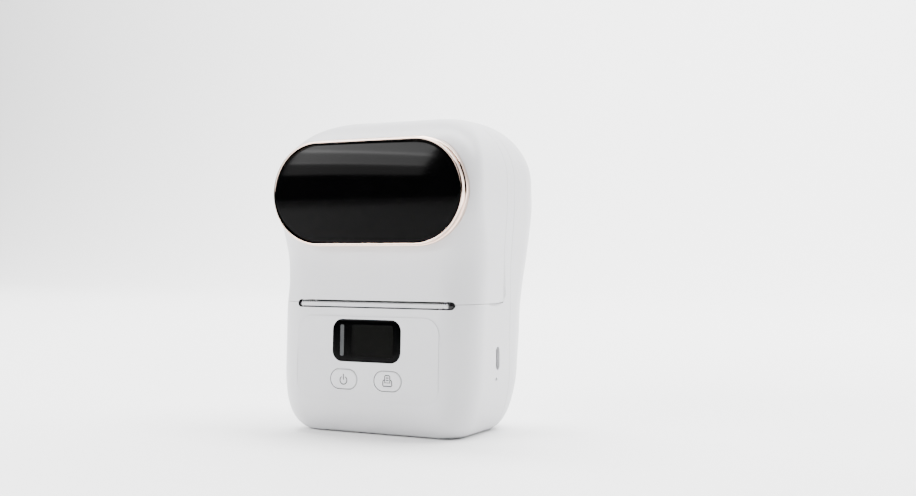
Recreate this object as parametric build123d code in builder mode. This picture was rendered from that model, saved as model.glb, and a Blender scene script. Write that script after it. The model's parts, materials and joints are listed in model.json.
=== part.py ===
from build123d import *
import math
import os

# Free-standing thermal label printer, 93.7 x 78.9 x 127 mm.
# Millimetres, +Z up, the front faces -Y, the origin is under the middle of the base.

# ---------------------------------------------------------------- main sizes
HEIGHT = 127.0
WALL = 2.2
REAR_SEAM_Y = 4.0
LID_SEAM_Y = -3.0
LID_EDGE_Z = 52.4
SEAM_GAP = 0.16
HINGE_CLEARANCE = 0.2
FIT_GAP = 0.03

# Rounding into base and crown: how far each side draws in, and over what height
BASE_SIDE_INSET = 10.0
BASE_SIDE_RISE = 25.0
BASE_FRONT_INSET = 9.5
BASE_FRONT_RISE = 15.0
BASE_LEVELS = (0.0, 0.5, 2.0, 4.5, 8.0, 12.5, 17.5)
CROWN_RISE = 26.0
CROWN_Z = HEIGHT - CROWN_RISE
CROWN_SIDE_INSET = 25.0
CROWN_FRONT_INSET = 29.0
CROWN_REAR_INSET = 26.0
CROWN_FRONT_CORNER_LOSS = 1.0
CROWN_REAR_CORNER_LOSS = 14.0

# Body stations: height, half width, front, rear, front corner radius, rear corner radius
STATIONS = [
    (10.0, 44.3, -34.95, 24.8, 13.8, 18.3),
    (24.0, 44.6, -34.9, 25.9, 14.3, 18.8),
    (38.0, 44.7, -34.2, 27.8, 14.3, 18.8),
    (50.0, 44.9, -33.4, 28.8, 14.3, 19.0),
    (60.0, 45.0, -32.5, 30.5, 15.2, 18.0),
    (70.0, 45.3, -31.9, 34.0, 14.5, 18.5),
    (80.0, 46.1, -32.2, 37.0, 12.0, 20.5),
    (90.0, 46.8, -32.6, 39.1, 8.5, 22.0),
    (CROWN_Z, 46.8, -32.6, 39.25, 8.5, 22.5),
]

# Display, buttons and label slot
DISPLAY_Z = 37.6
DISPLAY_SIZE = (30.9, 16.6, 4.3)
FACET_LEAN = 1.96
FACET_FRONT_Y = -34.28
FACET_HALF_WIDTH = 32.3
FACET_TOP_Z = 47.2
BUTTON_X = 10.05
BUTTON_Z = 22.2
BUTTON_SIZE = (12.3, 7.8)
BUTTON_FRONT_Y = -35.15
BUTTON_FLANGE = 0.9
BUTTON_CLEARANCE = 0.2
SLOT_X = (-33.0, 37.8)
SLOT_Z = (50.4, 53.5)

# Face panel and trim ring on the lid
FACE_Z = 96.2
RING_SIZE = (87.4, 42.6)
RING_WALL = 1.3
RING_STEP = 0.45
RING_FOOT_Y = -33.5
RING_FRONT_Y = -36.2
RING_BACK_Y = -25.6
FACE_FRONT_Y = -39.25
FACE_CURVE_UPRIGHT = 68.0
FACE_CURVE_LEVEL = 292.0
FACE_RIM = 2.2
FACE_HOLLOW_Y = -33.6

# Charging inlet and reset button on the right side
USB_Y = -7.5
USB_Z = 30.4
USB_OPENING = (9.4, 3.4)
RESET_Y = -8.5
RESET_Z = 22.2

# Finger hollow at the lid's edge and tapered groove beside it
SCALLOP_Y = -10.3
SCALLOP_Z = 69.2
SCALLOP_RADIUS = 32.0
SCALLOP_X = 71.1
GROOVE_X = 49.0
GROOVE_RADII = (4.8, 3.7)
GROOVE_Z = (56.0, 72.0)

# Lid hinge
HINGE_Y = -9.5
HINGE_Z = 120.8
PIN_RADIUS = 1.5
BRACKET_X = (19.0, 22.0)
BRACKET_EYE = 2.7
BRACKET_STEM = 1.8
BRACKET_ARM = (9.7, 12.2)
RUNNING_FIT = 0.06

# Print mechanism
MECH_X = 2.0
SHEET = 1.2
PLATE_X = 29.2
PLATEN_Y = -22.3
PLATEN_Z = 57.9
PLATEN_RADIUS = 5.0
PLATEN_HALF = 27.0
BUSH_RADIUS = 3.5
SHAFT_RADIUS = 2.5
HEAD_TOP_Z = PLATEN_Z - PLATEN_RADIUS - 0.02
HEAD_PIVOT_Y = -12.7
HEAD_PIVOT_Z = 48.2
MOTOR_Y = -3.2
MOTOR_Z = 49.0
MOTOR_RADIUS = 7.5

# Drive gears, involute teeth
GEAR_MODULE = 0.5
PLATEN_TEETH = 24
IDLER_SMALL_TEETH = 16
IDLER_LARGE_TEETH = 38
PINION_TEETH = 12
BACKLASH = 0.1
INNER_GEAR_X = (MECH_X - 34.9, MECH_X - 33.4)
OUTER_GEAR_X = (MECH_X - 36.8, MECH_X - 35.3)

# Label roll bay and paper guides
BAY_Y = 9.5
BAY_Z = 92.5
BAY_RADIUS = 22.5
BAY_WALL = 1.6
BAY_HALF = 35.0
GUIDE_REST = 25.5
GUIDE_TRAVEL = 15.0
RACK_MODULE = 0.6
RACK_TEETH = 14
RACK_Z = (64.6, 66.6)

# Cutting blocks reach this far past the body: sideways and in depth, above and below it
REACH = 60.0
ABOVE = 140.0
BELOW = -10.0

os.makedirs("parts", exist_ok=True)


# ---------------------------------------------------------------- helpers
def block(x0, x1, y0, y1, z0, z1, mode=Mode.ADD):
    """A box between two corners, added to the part being built."""
    with Locations(((x0 + x1) / 2, (y0 + y1) / 2, (z0 + z1) / 2)):
        Box(x1 - x0, y1 - y0, z1 - z0, mode=mode)


def rod_x(x0, x1, y, z, radius, mode=Mode.ADD):
    """A round bar along X."""
    with Locations(Location(((x0 + x1) / 2, y, z), (0, 90, 0))):
        Cylinder(radius, x1 - x0, mode=mode)


def rod_y(y0, y1, x, z, radius, mode=Mode.ADD):
    """A round bar along Y."""
    with Locations(Location((x, (y0 + y1) / 2, z), (90, 0, 0))):
        Cylinder(radius, y1 - y0, mode=mode)


def rod_z(z0, z1, x, y, radius, mode=Mode.ADD):
    """A round bar along Z."""
    with Locations((x, y, (z0 + z1) / 2)):
        Cylinder(radius, z1 - z0, mode=mode)


def slot_bar(x0, x1, z0, z1, y0, y1):
    """A round-ended bar seen from the front, running from y0 to y1."""
    with BuildPart() as bar:
        with BuildSketch(Plane.XZ.offset(-y1)):
            with Locations(((x0 + x1) / 2, (z0 + z1) / 2)):
                SlotOverall(x1 - x0, z1 - z0)
        extrude(amount=y1 - y0)
    return bar.part


def side_plate(x0, x1, outline):
    """A flat plate standing across X with the given (y, z) outline."""
    with BuildPart() as plate:
        with BuildSketch(Plane.YZ.offset(x0)):
            with BuildLine():
                Polyline(*outline, close=True)
            make_face()
        extrude(amount=x1 - x0)
    return plate.part


def roll_in(z, inset, rise):
    """How far a quarter-ellipse rounding has drawn in at a height below its rise."""
    return inset * (1 - math.sqrt(1 - (max(rise - z, 0.0) / rise) ** 2))


def form_stations():
    """The body stations with the rounded base and the domed crown added."""
    first, second = STATIONS[:2]
    rows = []
    for z in BASE_LEVELS:
        share = max(z - first[0], 0.0) / (second[0] - first[0])
        blend = [a + (b - a) * share for a, b in zip(first[1:], second[1:])]
        half, front, rear, front_radius, rear_radius = blend
        side = roll_in(z, BASE_SIDE_INSET, BASE_SIDE_RISE)
        tuck = roll_in(z, BASE_FRONT_INSET, BASE_FRONT_RISE)
        rows.append((z, half - side, front + tuck, rear - side,
                     front_radius - 0.6 * max(side, tuck), rear_radius - 0.6 * side))
    rows += STATIONS[1:]
    last = STATIONS[-1]
    for angle in (18, 36, 52, 66, 79, 90):
        turn = math.radians(angle)
        share = 1 - math.cos(turn)
        rows.append((CROWN_Z + CROWN_RISE * math.sin(turn), last[1] - CROWN_SIDE_INSET * share,
                     last[2] + CROWN_FRONT_INSET * share, last[3] - CROWN_REAR_INSET * share,
                     last[4] - CROWN_FRONT_CORNER_LOSS * share, last[5] - CROWN_REAR_CORNER_LOSS * share))
    return rows


def body_form(inset):
    """The closed outer form of the printer, moved inwards by the inset."""
    with BuildPart() as form:
        for z, half, front, rear, front_radius, rear_radius in form_stations():
            level = inset + z * (HEIGHT - 2 * inset) / HEIGHT
            with BuildSketch(Plane.XY.offset(level)) as outline:
                with Locations((0, (front + rear) / 2)):
                    Rectangle(2 * (half - inset), rear - front - 2 * inset)
                corners = outline.vertices().sort_by(Axis.Y)
                fillet(corners[:2], max(front_radius - inset, 1.5))
                corners = outline.vertices().sort_by(Axis.Y)
                fillet(corners[-2:], max(rear_radius - inset, 1.5))
        loft()
    return form.part


def gear(teeth, module, plane, width, phase, bore):
    """A spur gear standing on a plane; phase is the angle in degrees of one tooth's middle."""
    pitch = module * teeth / 2
    base = pitch * math.cos(math.radians(20))
    tip = pitch + module * 0.95
    root = pitch - module * 1.2
    half = math.pi / (2 * teeth) - BACKLASH / (4 * pitch)
    spread = math.tan(math.radians(20)) - math.radians(20)
    flank = []
    for step in range(5):
        radius = max(base, root) + (tip - max(base, root)) * step / 4
        roll = math.acos(min(1.0, base / radius))
        flank.append((radius, half + spread - (math.tan(roll) - roll)))
    points = []
    for tooth in range(teeth):
        middle = math.radians(phase) + 2 * math.pi * tooth / teeth
        points.append((root, middle - flank[0][1]))
        points += [(radius, middle - angle) for radius, angle in flank]
        points += [(radius, middle + angle) for radius, angle in reversed(flank)]
        points.append((root, middle + flank[0][1]))
    outline = [(r * math.cos(a), r * math.sin(a)) for r, a in points]
    if root >= base:
        keep = [i for i in range(len(outline)) if i % 12 not in (0, 11)]
        outline = [outline[i] for i in keep]
    with BuildPart() as wheel:
        with BuildSketch(plane):
            with BuildLine():
                Polyline(*outline, close=True)
            make_face()
            if bore:
                Circle(bore, mode=Mode.SUBTRACT)
        extrude(amount=width)
    return wheel.part


def across(x, centre):
    """A plane standing across X at a (y, z) centre, its own first axis along +Y."""
    return Plane(origin=(x, centre[0], centre[1]), x_dir=(0, 1, 0), z_dir=(1, 0, 0))


def screw(x, y, z, direction, head_radius, head_height, radius, length):
    """A countersunk-free pan screw; the point given is under the head, direction is the tip."""
    plane = Plane(origin=(x, y, z), z_dir=direction)
    with BuildPart() as fastener:
        with BuildSketch(plane):
            Circle(radius)
        extrude(amount=length)
        with BuildSketch(plane):
            Circle(head_radius)
        extrude(amount=-head_height)
        with BuildSketch(plane.offset(-head_height)):
            Rectangle(head_radius * 1.1, head_radius * 0.28)
            Rectangle(head_radius * 0.28, head_radius * 1.1)
        extrude(amount=head_height * 0.5, mode=Mode.SUBTRACT)
    return fastener.part


def group(pieces):
    """Several equal pieces kept as separate solids under one name."""
    return Compound(children=pieces)


def save(builder_part, name):
    """Write one piece under its own name."""
    builder_part.label = name
    export_step(builder_part, f"parts/{name}.step")


OUTER = body_form(0.0)
INNER = body_form(WALL)
LIP = body_form(WALL + 1.2)
FITTED = body_form(WALL + FIT_GAP)


# ---------------------------------------------------------------- gear centres
def meeting_point(first, first_distance, second, second_distance):
    """The point at the two given distances from two centres, on the upper side."""
    dy = second[0] - first[0]
    dz = second[1] - first[1]
    span = math.hypot(dy, dz)
    along = (first_distance ** 2 - second_distance ** 2 + span ** 2) / (2 * span)
    off = math.sqrt(first_distance ** 2 - along ** 2)
    upper = [(first[0] + (along * dy - side * off * dz) / span,
              first[1] + (along * dz + side * off * dy) / span) for side in (1, -1)]
    return max(upper, key=lambda point: point[1])


def bearing(start, end):
    """The angle in degrees from one (y, z) point to another."""
    return math.degrees(math.atan2(end[1] - start[1], end[0] - start[0]))


PLATEN = (PLATEN_Y, PLATEN_Z)
MOTOR = (MOTOR_Y, MOTOR_Z)
IDLER = meeting_point(MOTOR, GEAR_MODULE * (PINION_TEETH + IDLER_LARGE_TEETH) / 2,
                      PLATEN, GEAR_MODULE * (IDLER_SMALL_TEETH + PLATEN_TEETH) / 2)
print("idler centre y, z:", round(IDLER[0], 3), round(IDLER[1], 3))


# ---------------------------------------------------------------- housing
def hinge_relief():
    """The room the lid's rear edge needs as it turns down behind the hinge."""
    reach = LID_SEAM_Y - SEAM_GAP / 2 - HINGE_Y
    flat = STATIONS[-1][1] - CROWN_SIDE_INSET
    edge = []
    for step in range(-16, 17):
        x = 45.0 * step / 16
        over = max(abs(x) - flat, 0.0)
        top = CROWN_Z + CROWN_RISE * math.sqrt(max(1 - (over / CROWN_SIDE_INSET) ** 2, 0.0))
        edge.append((x, math.hypot(reach, max(top - HINGE_Z, 0.0)) + HINGE_CLEARANCE))
    with BuildPart() as relief:
        with BuildSketch(Plane(origin=(0, HINGE_Y, HINGE_Z), x_dir=(1, 0, 0), z_dir=(0, -1, 0))):
            with BuildLine():
                Polyline((-45.0, 0), *edge, (45.0, 0), close=True)
            make_face()
        revolve(axis=Axis((0, HINGE_Y, HINGE_Z), (1, 0, 0)))
    return relief.part


def facet_block(depth):
    """The flat leaning area of the front that carries display and buttons."""
    lean = math.radians(FACET_LEAN)
    plane = Plane(origin=(0, FACET_FRONT_Y, DISPLAY_Z), x_dir=(1, 0, 0),
                  z_dir=(0, -math.cos(lean), math.sin(lean)))
    low = -24.0
    high = FACET_TOP_Z - DISPLAY_Z
    with BuildPart() as facet:
        with BuildSketch(plane):
            with Locations((0, (low + high) / 2)):
                RectangleRounded(2 * FACET_HALF_WIDTH, high - low, 6.7)
        extrude(amount=-depth)
        fillet(facet.faces().sort_by(Axis.Y)[0].edges(), 0.3)
    return facet.part


def display_block(grow, front, back):
    """A rounded rectangle on the leaning facet between two depths below it."""
    lean = math.radians(FACET_LEAN)
    plane = Plane(origin=(0, FACET_FRONT_Y, DISPLAY_Z), x_dir=(1, 0, 0),
                  z_dir=(0, -math.cos(lean), math.sin(lean)))
    with BuildPart() as slab:
        with BuildSketch(plane.offset(-front)):
            RectangleRounded(DISPLAY_SIZE[0] + 2 * grow, DISPLAY_SIZE[1] + 2 * grow, DISPLAY_SIZE[2] + grow)
        extrude(amount=-(back - front))
    return slab.part


def finger_hollow(side):
    """The shallow scallop under the lid's edge and the tapered groove beside the seam."""
    with BuildPart() as hollow:
        with Locations((side * SCALLOP_X, SCALLOP_Y, SCALLOP_Z)):
            Sphere(SCALLOP_RADIUS)
        block(-2 * REACH, 2 * REACH, LID_SEAM_Y, REACH, BELOW, ABOVE, mode=Mode.SUBTRACT)
        block(-2 * REACH, 2 * REACH, -REACH, REACH, LID_EDGE_Z, ABOVE, mode=Mode.SUBTRACT)
        with Locations((side * GROOVE_X, LID_SEAM_Y, (GROOVE_Z[0] + GROOVE_Z[1]) / 2)):
            Cone(GROOVE_RADII[0], GROOVE_RADII[1], GROOVE_Z[1] - GROOVE_Z[0])
        with Locations((side * GROOVE_X, LID_SEAM_Y, GROOVE_Z[0])):
            Sphere(GROOVE_RADII[0])
    return hollow.part


LIP_Y = (1.5, 6.5)
LIP_BREAK = (26.0, 100.0)
BOARD_POSTS = [(-33.0, 12.0), (33.0, 12.0), (-33.0, 37.5), (33.0, 37.5)]
BOARD_Z = (8.5, 40.8)
BOARD_FRONT_Y = -27.6
BOARD_REAR_Y = -26.0
SIDE_BOARD_Y = (USB_Y + 1.6, USB_Y + 2.6)
SIDE_POSTS = [(27.0, 22.5), (27.0, 36.5)]
MECH_TABS = [(-31.9, -24.0), (35.6, -24.0)]
MECH_BASE_Z = 44.0

with BuildPart() as inner_fittings:
    for post_x, post_z in BOARD_POSTS:
        rod_y(-36.0, BOARD_FRONT_Y, post_x, post_z, 2.6)
    for post_x, post_z in SIDE_POSTS:
        rod_y(SIDE_BOARD_Y[1], 3.9, post_x, post_z, 2.2)
        block(post_x - 1.0, post_x + 20.0, SIDE_BOARD_Y[1] + 1.5, 3.9, post_z - 1.0, post_z + 1.0)
    for tab_x, tab_y in MECH_TABS:
        block(tab_x - 3.2, tab_x + 3.2, -34.0, -20.5, 41.0, MECH_BASE_Z)
    add(INNER, mode=Mode.INTERSECT)

with BuildPart() as front_housing:
    add(OUTER)
    add(facet_block(3.0))
    add(INNER, mode=Mode.SUBTRACT)
    block(-REACH, REACH, REAR_SEAM_Y - SEAM_GAP / 2, REACH, BELOW, ABOVE, mode=Mode.SUBTRACT)
    block(-REACH, REACH, -REACH, LID_SEAM_Y + SEAM_GAP / 2, LID_EDGE_Z - SEAM_GAP / 2, ABOVE,
          mode=Mode.SUBTRACT)
    add(hinge_relief(), mode=Mode.SUBTRACT)
    with BuildPart(mode=Mode.PRIVATE) as seam_lip:
        add(INNER)
        add(LIP, mode=Mode.SUBTRACT)
        block(-REACH, REACH, -REACH, LIP_Y[0], BELOW, ABOVE, mode=Mode.SUBTRACT)
        block(-REACH, REACH, LIP_Y[1], REACH, BELOW, ABOVE, mode=Mode.SUBTRACT)
        block(-LIP_BREAK[0], LIP_BREAK[0], -REACH, REACH, LIP_BREAK[1], ABOVE, mode=Mode.SUBTRACT)
    add(seam_lip.part)
    add(inner_fittings.part)
    add(slot_bar(SLOT_X[0], SLOT_X[1], SLOT_Z[0], SLOT_Z[1], -40, -30), mode=Mode.SUBTRACT)
    add(display_block(0.15, -3.0, 6.0), mode=Mode.SUBTRACT)
    for side in (-1, 1):
        key_half = BUTTON_SIZE[0] / 2 + BUTTON_CLEARANCE
        key_rise = BUTTON_SIZE[1] / 2 + BUTTON_CLEARANCE
        add(slot_bar(side * BUTTON_X - key_half, side * BUTTON_X + key_half,
                     BUTTON_Z - key_rise, BUTTON_Z + key_rise, -40, -30), mode=Mode.SUBTRACT)
        add(finger_hollow(side), mode=Mode.SUBTRACT)
    with BuildSketch(Plane.YZ.offset(30.0)):
        with Locations((USB_Y, USB_Z)):
            SlotOverall(USB_OPENING[0], USB_OPENING[1], rotation=90)
    extrude(amount=20.0, mode=Mode.SUBTRACT)
    rod_x(40.0, 50.0, RESET_Y, RESET_Z, 0.75, mode=Mode.SUBTRACT)
    for post_x, post_z in BOARD_POSTS:
        rod_y(-31.5, BOARD_FRONT_Y + 0.1, post_x, post_z, 0.9, mode=Mode.SUBTRACT)
    for post_x, post_z in SIDE_POSTS:
        rod_y(SIDE_BOARD_Y[1] - 0.1, 2.5, post_x, post_z, 0.8, mode=Mode.SUBTRACT)
    for tab_x, tab_y in MECH_TABS:
        rod_z(41.5, MECH_BASE_Z + 0.1, tab_x, tab_y, 0.9, mode=Mode.SUBTRACT)
save(front_housing.part, "front_housing")

REAR_SCREWS = [(-16.0, FACE_Z), (16.0, FACE_Z)]
REAR_HEAD_Y = 37.9

with BuildPart() as rear_cover:
    add(OUTER)
    add(INNER, mode=Mode.SUBTRACT)
    block(-REACH, REACH, -REACH, REAR_SEAM_Y + SEAM_GAP / 2, BELOW, ABOVE, mode=Mode.SUBTRACT)
    for screw_x, screw_z in REAR_SCREWS:
        rod_y(REAR_HEAD_Y, 45.0, screw_x, screw_z, 1.7, mode=Mode.SUBTRACT)
        rod_y(30.0, 45.0, screw_x, screw_z, 0.95, mode=Mode.SUBTRACT)
save(rear_cover.part, "rear_cover")

case_screws = group([screw(x, REAR_HEAD_Y, z, (0, -1, 0), 1.5, 1.0, 0.95, 5.2) for x, z in REAR_SCREWS])
save(case_screws, "case_screws")


# ---------------------------------------------------------------- display and buttons
with BuildPart() as display_window:
    add(display_block(0.0, 0.02, 1.5))
save(display_window.part, "display_window")

with BuildPart() as display_module:
    add(display_block(-1.2, 1.5, 3.6))
    block(-13.0, 13.0, FACET_FRONT_Y + 3.0, BOARD_FRONT_Y, DISPLAY_Z - 6.0, DISPLAY_Z + 6.0)
save(display_module.part, "display_module")


def button(x):
    """One round-ended key: cap, retaining flange and stem."""
    with BuildPart() as key:
        half_w = BUTTON_SIZE[0] / 2
        half_h = BUTTON_SIZE[1] / 2
        add(slot_bar(x - half_w, x + half_w, BUTTON_Z - half_h, BUTTON_Z + half_h, BUTTON_FRONT_Y, -31.9))
        fillet(key.faces().sort_by(Axis.Y)[0].edges(), 0.5)
        add(slot_bar(x - half_w - BUTTON_FLANGE, x + half_w + BUTTON_FLANGE,
                     BUTTON_Z - half_h - BUTTON_FLANGE, BUTTON_Z + half_h + BUTTON_FLANGE, -32.35, -31.5))
        rod_y(-31.6, -30.9, x, BUTTON_Z, 1.6)
    return key.part


save(button(-BUTTON_X), "power_button")
save(button(BUTTON_X), "feed_button")


def tact_switch(x):
    """A low push switch on the main board."""
    with BuildPart() as switch:
        block(x - 3.0, x + 3.0, -29.4, BOARD_FRONT_Y, BUTTON_Z - 3.0, BUTTON_Z + 3.0)
        rod_y(-30.3, -29.4, x, BUTTON_Z, 1.5)
    return switch.part


save(group([tact_switch(-BUTTON_X), tact_switch(BUTTON_X)]), "tact_switches")


# ---------------------------------------------------------------- electronics
with BuildPart() as main_board:
    block(-36.0, 36.0, BOARD_FRONT_Y, BOARD_REAR_Y, BOARD_Z[0], BOARD_Z[1])
    for post_x, post_z in BOARD_POSTS:
        rod_y(BOARD_FRONT_Y - 1, BOARD_REAR_Y + 1, post_x, post_z, 0.9, mode=Mode.SUBTRACT)
save(main_board.part, "main_board")

board_screws = group([screw(x, BOARD_REAR_Y, z, (0, -1, 0), 1.7, 1.1, 0.9, 4.6) for x, z in BOARD_POSTS])
save(board_screws, "board_screws")

with BuildPart() as processor:
    block(-5.0, 5.0, BOARD_REAR_Y, BOARD_REAR_Y + 0.9, 20.0, 30.0)
save(processor.part, "processor_chip")

with BuildPart() as radio:
    block(-32.0, -19.0, BOARD_REAR_Y, BOARD_REAR_Y + 0.8, 17.0, 35.0)
    block(-31.0, -20.0, BOARD_REAR_Y + 0.8, BOARD_REAR_Y + 2.6, 17.8, 29.0)
save(radio.part, "radio_module")

with BuildPart() as side_board:
    block(23.5, 42.0, SIDE_BOARD_Y[0], SIDE_BOARD_Y[1], 19.0, 39.5)
    for post_x, post_z in SIDE_POSTS:
        rod_y(SIDE_BOARD_Y[0] - 1, SIDE_BOARD_Y[1] + 1, post_x, post_z, 0.8, mode=Mode.SUBTRACT)
    add(FITTED, mode=Mode.INTERSECT)
save(side_board.part, "side_board")

side_screws = group([screw(x, SIDE_BOARD_Y[0], z, (0, 1, 0), 1.6, 1.0, 0.8, 5.0) for x, z in SIDE_POSTS])
save(side_screws, "side_board_screws")

USB_X = (36.4, 43.9)
with BuildPart() as usb_port:
    with BuildSketch(Plane.YZ.offset(USB_X[0])):
        with Locations((USB_Y, USB_Z)):
            SlotOverall(8.94, 3.2, rotation=90)
    extrude(amount=USB_X[1] - USB_X[0])
    with BuildSketch(Plane.YZ.offset(USB_X[0] + 0.8)):
        with Locations((USB_Y, USB_Z)):
            SlotOverall(8.34, 2.6, rotation=90)
    extrude(amount=20.0, mode=Mode.SUBTRACT)
save(usb_port.part, "usb_port")

with BuildPart() as usb_tongue:
    block(USB_X[0] + 0.8, USB_X[1] - 0.7, USB_Y - 0.35, USB_Y + 0.35, USB_Z - 3.35, USB_Z + 3.35)
save(usb_tongue.part, "usb_tongue")

with BuildPart() as reset_button:
    rod_x(40.9, 43.7, RESET_Y, RESET_Z, 0.65)
    rod_x(40.4, 41.4, RESET_Y, RESET_Z, 1.1)
save(reset_button.part, "reset_button")

with BuildPart() as reset_switch:
    block(36.6, 39.6, RESET_Y - 1.6, SIDE_BOARD_Y[0], RESET_Z - 2.2, RESET_Z + 2.2)
    rod_x(39.6, 40.1, RESET_Y, RESET_Z, 0.9)
save(reset_switch.part, "reset_switch")

BATTERY = (-26.0, 26.0, 7.4, 19.9, 10.0, 46.0)
HOLDER_Y = (6.7, 21.4)
HOLDER_FLOOR_Z = 2.2
with BuildPart() as battery_pack:
    block(*BATTERY)
    fillet(battery_pack.edges().filter_by(Axis.X), 4.0)
save(battery_pack.part, "battery_pack")

with BuildPart() as battery_holder:
    block(-29.0, 29.0, HOLDER_Y[0], HOLDER_Y[1], HOLDER_FLOOR_Z, BATTERY[4])
    block(-23.0, 23.0, HOLDER_Y[0] - 1, HOLDER_Y[1] + 1, HOLDER_FLOOR_Z - 1, BATTERY[4] - 1.5,
          mode=Mode.SUBTRACT)
    for side in (-1, 1):
        block(side * 27.6 - 1.4, side * 27.6 + 1.4, HOLDER_Y[0], HOLDER_Y[1] - 0.8, BATTERY[4], 31.0)
    add(FITTED, mode=Mode.INTERSECT)
save(battery_holder.part, "battery_holder")

LEAD_RADIUS = 0.6
LEAD_BEND = 6.0
SOCKET_Z = 37.0
LEAD_Z = 30.0
with BuildPart() as battery_socket:
    block(-16.0, -9.0, BOARD_REAR_Y, BOARD_REAR_Y + 4.6, SOCKET_Z - 2.4, SOCKET_Z + 2.4)
save(battery_socket.part, "battery_socket")


def lead(x):
    """One insulated wire: two straight runs joined by two tangent arcs."""
    start = BOARD_REAR_Y + 4.6
    with BuildPart() as wire:
        with BuildLine(Plane.YZ.offset(x)):
            FilletPolyline((start, SOCKET_Z), (start + 9.0, SOCKET_Z), (start + 16.0, LEAD_Z),
                           (BATTERY[2], LEAD_Z), radius=LEAD_BEND)
        with BuildSketch(Plane(origin=(x, start, SOCKET_Z), x_dir=(1, 0, 0), z_dir=(0, 1, 0))):
            Circle(LEAD_RADIUS)
        sweep()
    return wire.part


print("battery lead bend radius:", LEAD_BEND, "mm for a wire", 2 * LEAD_RADIUS, "mm thick")
save(group([lead(-14.0), lead(-11.0)]), "battery_lead")


# ---------------------------------------------------------------- roll bay and guides
RACK_FRONT_Y = BAY_Y - RACK_MODULE * RACK_TEETH / 2
RACK_BACK_Y = BAY_Y + RACK_MODULE * RACK_TEETH / 2
BAY_LEFT = MECH_X - BAY_HALF
BAY_RIGHT = MECH_X + BAY_HALF
BAY_MOUTH_Y = -9.2
BAY_MOUTH_Z = 86.0
BAY_TOP_Z = 102.0
CHUTE = [(BAY_MOUTH_Y, 80.0), (-14.9, 58.6), (-13.6, 58.1), (-7.9, 79.4)]

with BuildPart() as roll_bay:
    rod_x(BAY_LEFT, BAY_RIGHT, BAY_Y, BAY_Z, BAY_RADIUS + BAY_WALL)
    rod_x(BAY_LEFT + BAY_WALL, BAY_RIGHT - BAY_WALL, BAY_Y, BAY_Z, BAY_RADIUS, mode=Mode.SUBTRACT)
    block(BAY_LEFT - 1, BAY_RIGHT + 1, -20.0, BAY_Y + 5, BAY_MOUTH_Z, ABOVE, mode=Mode.SUBTRACT)
    block(BAY_LEFT - 1, BAY_RIGHT + 1, -20.0, REACH, BAY_TOP_Z, ABOVE, mode=Mode.SUBTRACT)
    block(BAY_LEFT - 1, BAY_RIGHT + 1, -30.0, BAY_MOUTH_Y, 60.0, ABOVE, mode=Mode.SUBTRACT)
    add(side_plate(MECH_X - 26.6, MECH_X + 26.6, CHUTE))
    for side in (-1, 1):
        near = MECH_X + side * (PLATE_X + SHEET / 2)
        block(near - 1.0, near + 1.0, -6.0, 1.0, 62.0, 75.0)
    block(BAY_LEFT - 1, BAY_RIGHT + 1, -6.1, 1.1, 60.0, 65.0, mode=Mode.SUBTRACT)
    rod_z(RACK_Z[0] - 0.6, 69.5, MECH_X, BAY_Y, 1.2)
    for screw_x, screw_z in REAR_SCREWS:
        rod_y(32.3, 42.0, screw_x, screw_z, 3.0)
    rod_x(BAY_LEFT + BAY_WALL, BAY_RIGHT - BAY_WALL, BAY_Y, BAY_Z, BAY_RADIUS, mode=Mode.SUBTRACT)
    add(FITTED, mode=Mode.INTERSECT)
    for screw_x, screw_z in REAR_SCREWS:
        rod_y(REAR_HEAD_Y - 5.2, 42.0, screw_x, screw_z, 0.95, mode=Mode.SUBTRACT)
    for side, stem_y in ((-1, RACK_FRONT_Y - 1.5), (1, RACK_BACK_Y + 1.5)):
        outer = MECH_X + side * (GUIDE_REST + 2.6)
        inner = MECH_X + side * (GUIDE_REST - GUIDE_TRAVEL - 1.0)
        block(min(outer, inner), max(outer, inner), stem_y - 1.7, stem_y + 1.7, 60.0, 76.0,
              mode=Mode.SUBTRACT)
save(roll_bay.part, "roll_bay")


def guide(side):
    """A paper guide: upright paddle, foot through the bay floor and toothed rack below."""
    stem_y = BAY_Y + side * (RACK_MODULE * RACK_TEETH / 2 + 1.5)
    pitch_y = BAY_Y + side * RACK_MODULE * RACK_TEETH / 2
    face = MECH_X + side * GUIDE_REST
    back = face + side * 1.6
    pitch = math.pi * RACK_MODULE
    with BuildPart() as paddle:
        rod_x(min(face, back), max(face, back), BAY_Y, BAY_Z, 16.0)
        block(min(face, back), max(face, back), BAY_Y - 9.0, BAY_Y + 9.0, BAY_Z - 19.6, BAY_Z)
        block(min(face, back), max(face, back), stem_y - 1.3, stem_y + 1.3, RACK_Z[0], BAY_Z)
        rod_x(min(face - side * 3.0, face), max(face - side * 3.0, face), BAY_Y, BAY_Z, 5.8)
        rod_x(min(face - side * 4, back + side), max(face - side * 4, back + side), BAY_Y, BAY_Z, 3.6,
              mode=Mode.SUBTRACT)
        far = MECH_X - side * 3.4
        near = face + side * 1.6
        root = pitch_y + side * RACK_MODULE * 1.25
        block(min(far, near), max(far, near), min(root, stem_y + side * 1.3), max(root, stem_y + side * 1.3),
              RACK_Z[0], RACK_Z[1])
        with BuildSketch(Plane.XY.offset(RACK_Z[0])):
            count = int((abs(near - far) - 1.5) / pitch)
            for index in range(-1, count - 1):
                middle = MECH_X + side * (index + 0.5) * pitch
                with BuildLine():
                    wide = pitch / 4 + math.tan(math.radians(20)) * RACK_MODULE * 1.25 - BACKLASH / 4
                    slim = pitch / 4 - math.tan(math.radians(20)) * RACK_MODULE * 0.9 - BACKLASH / 4
                    tip = pitch_y - side * RACK_MODULE * 0.9
                    Polyline((middle - wide, root), (middle - slim, tip), (middle + slim, tip),
                             (middle + wide, root), close=True)
                make_face()
        extrude(amount=RACK_Z[1] - RACK_Z[0])
    return paddle.part


save(guide(-1), "left_guide")
save(guide(1), "right_guide")

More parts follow.
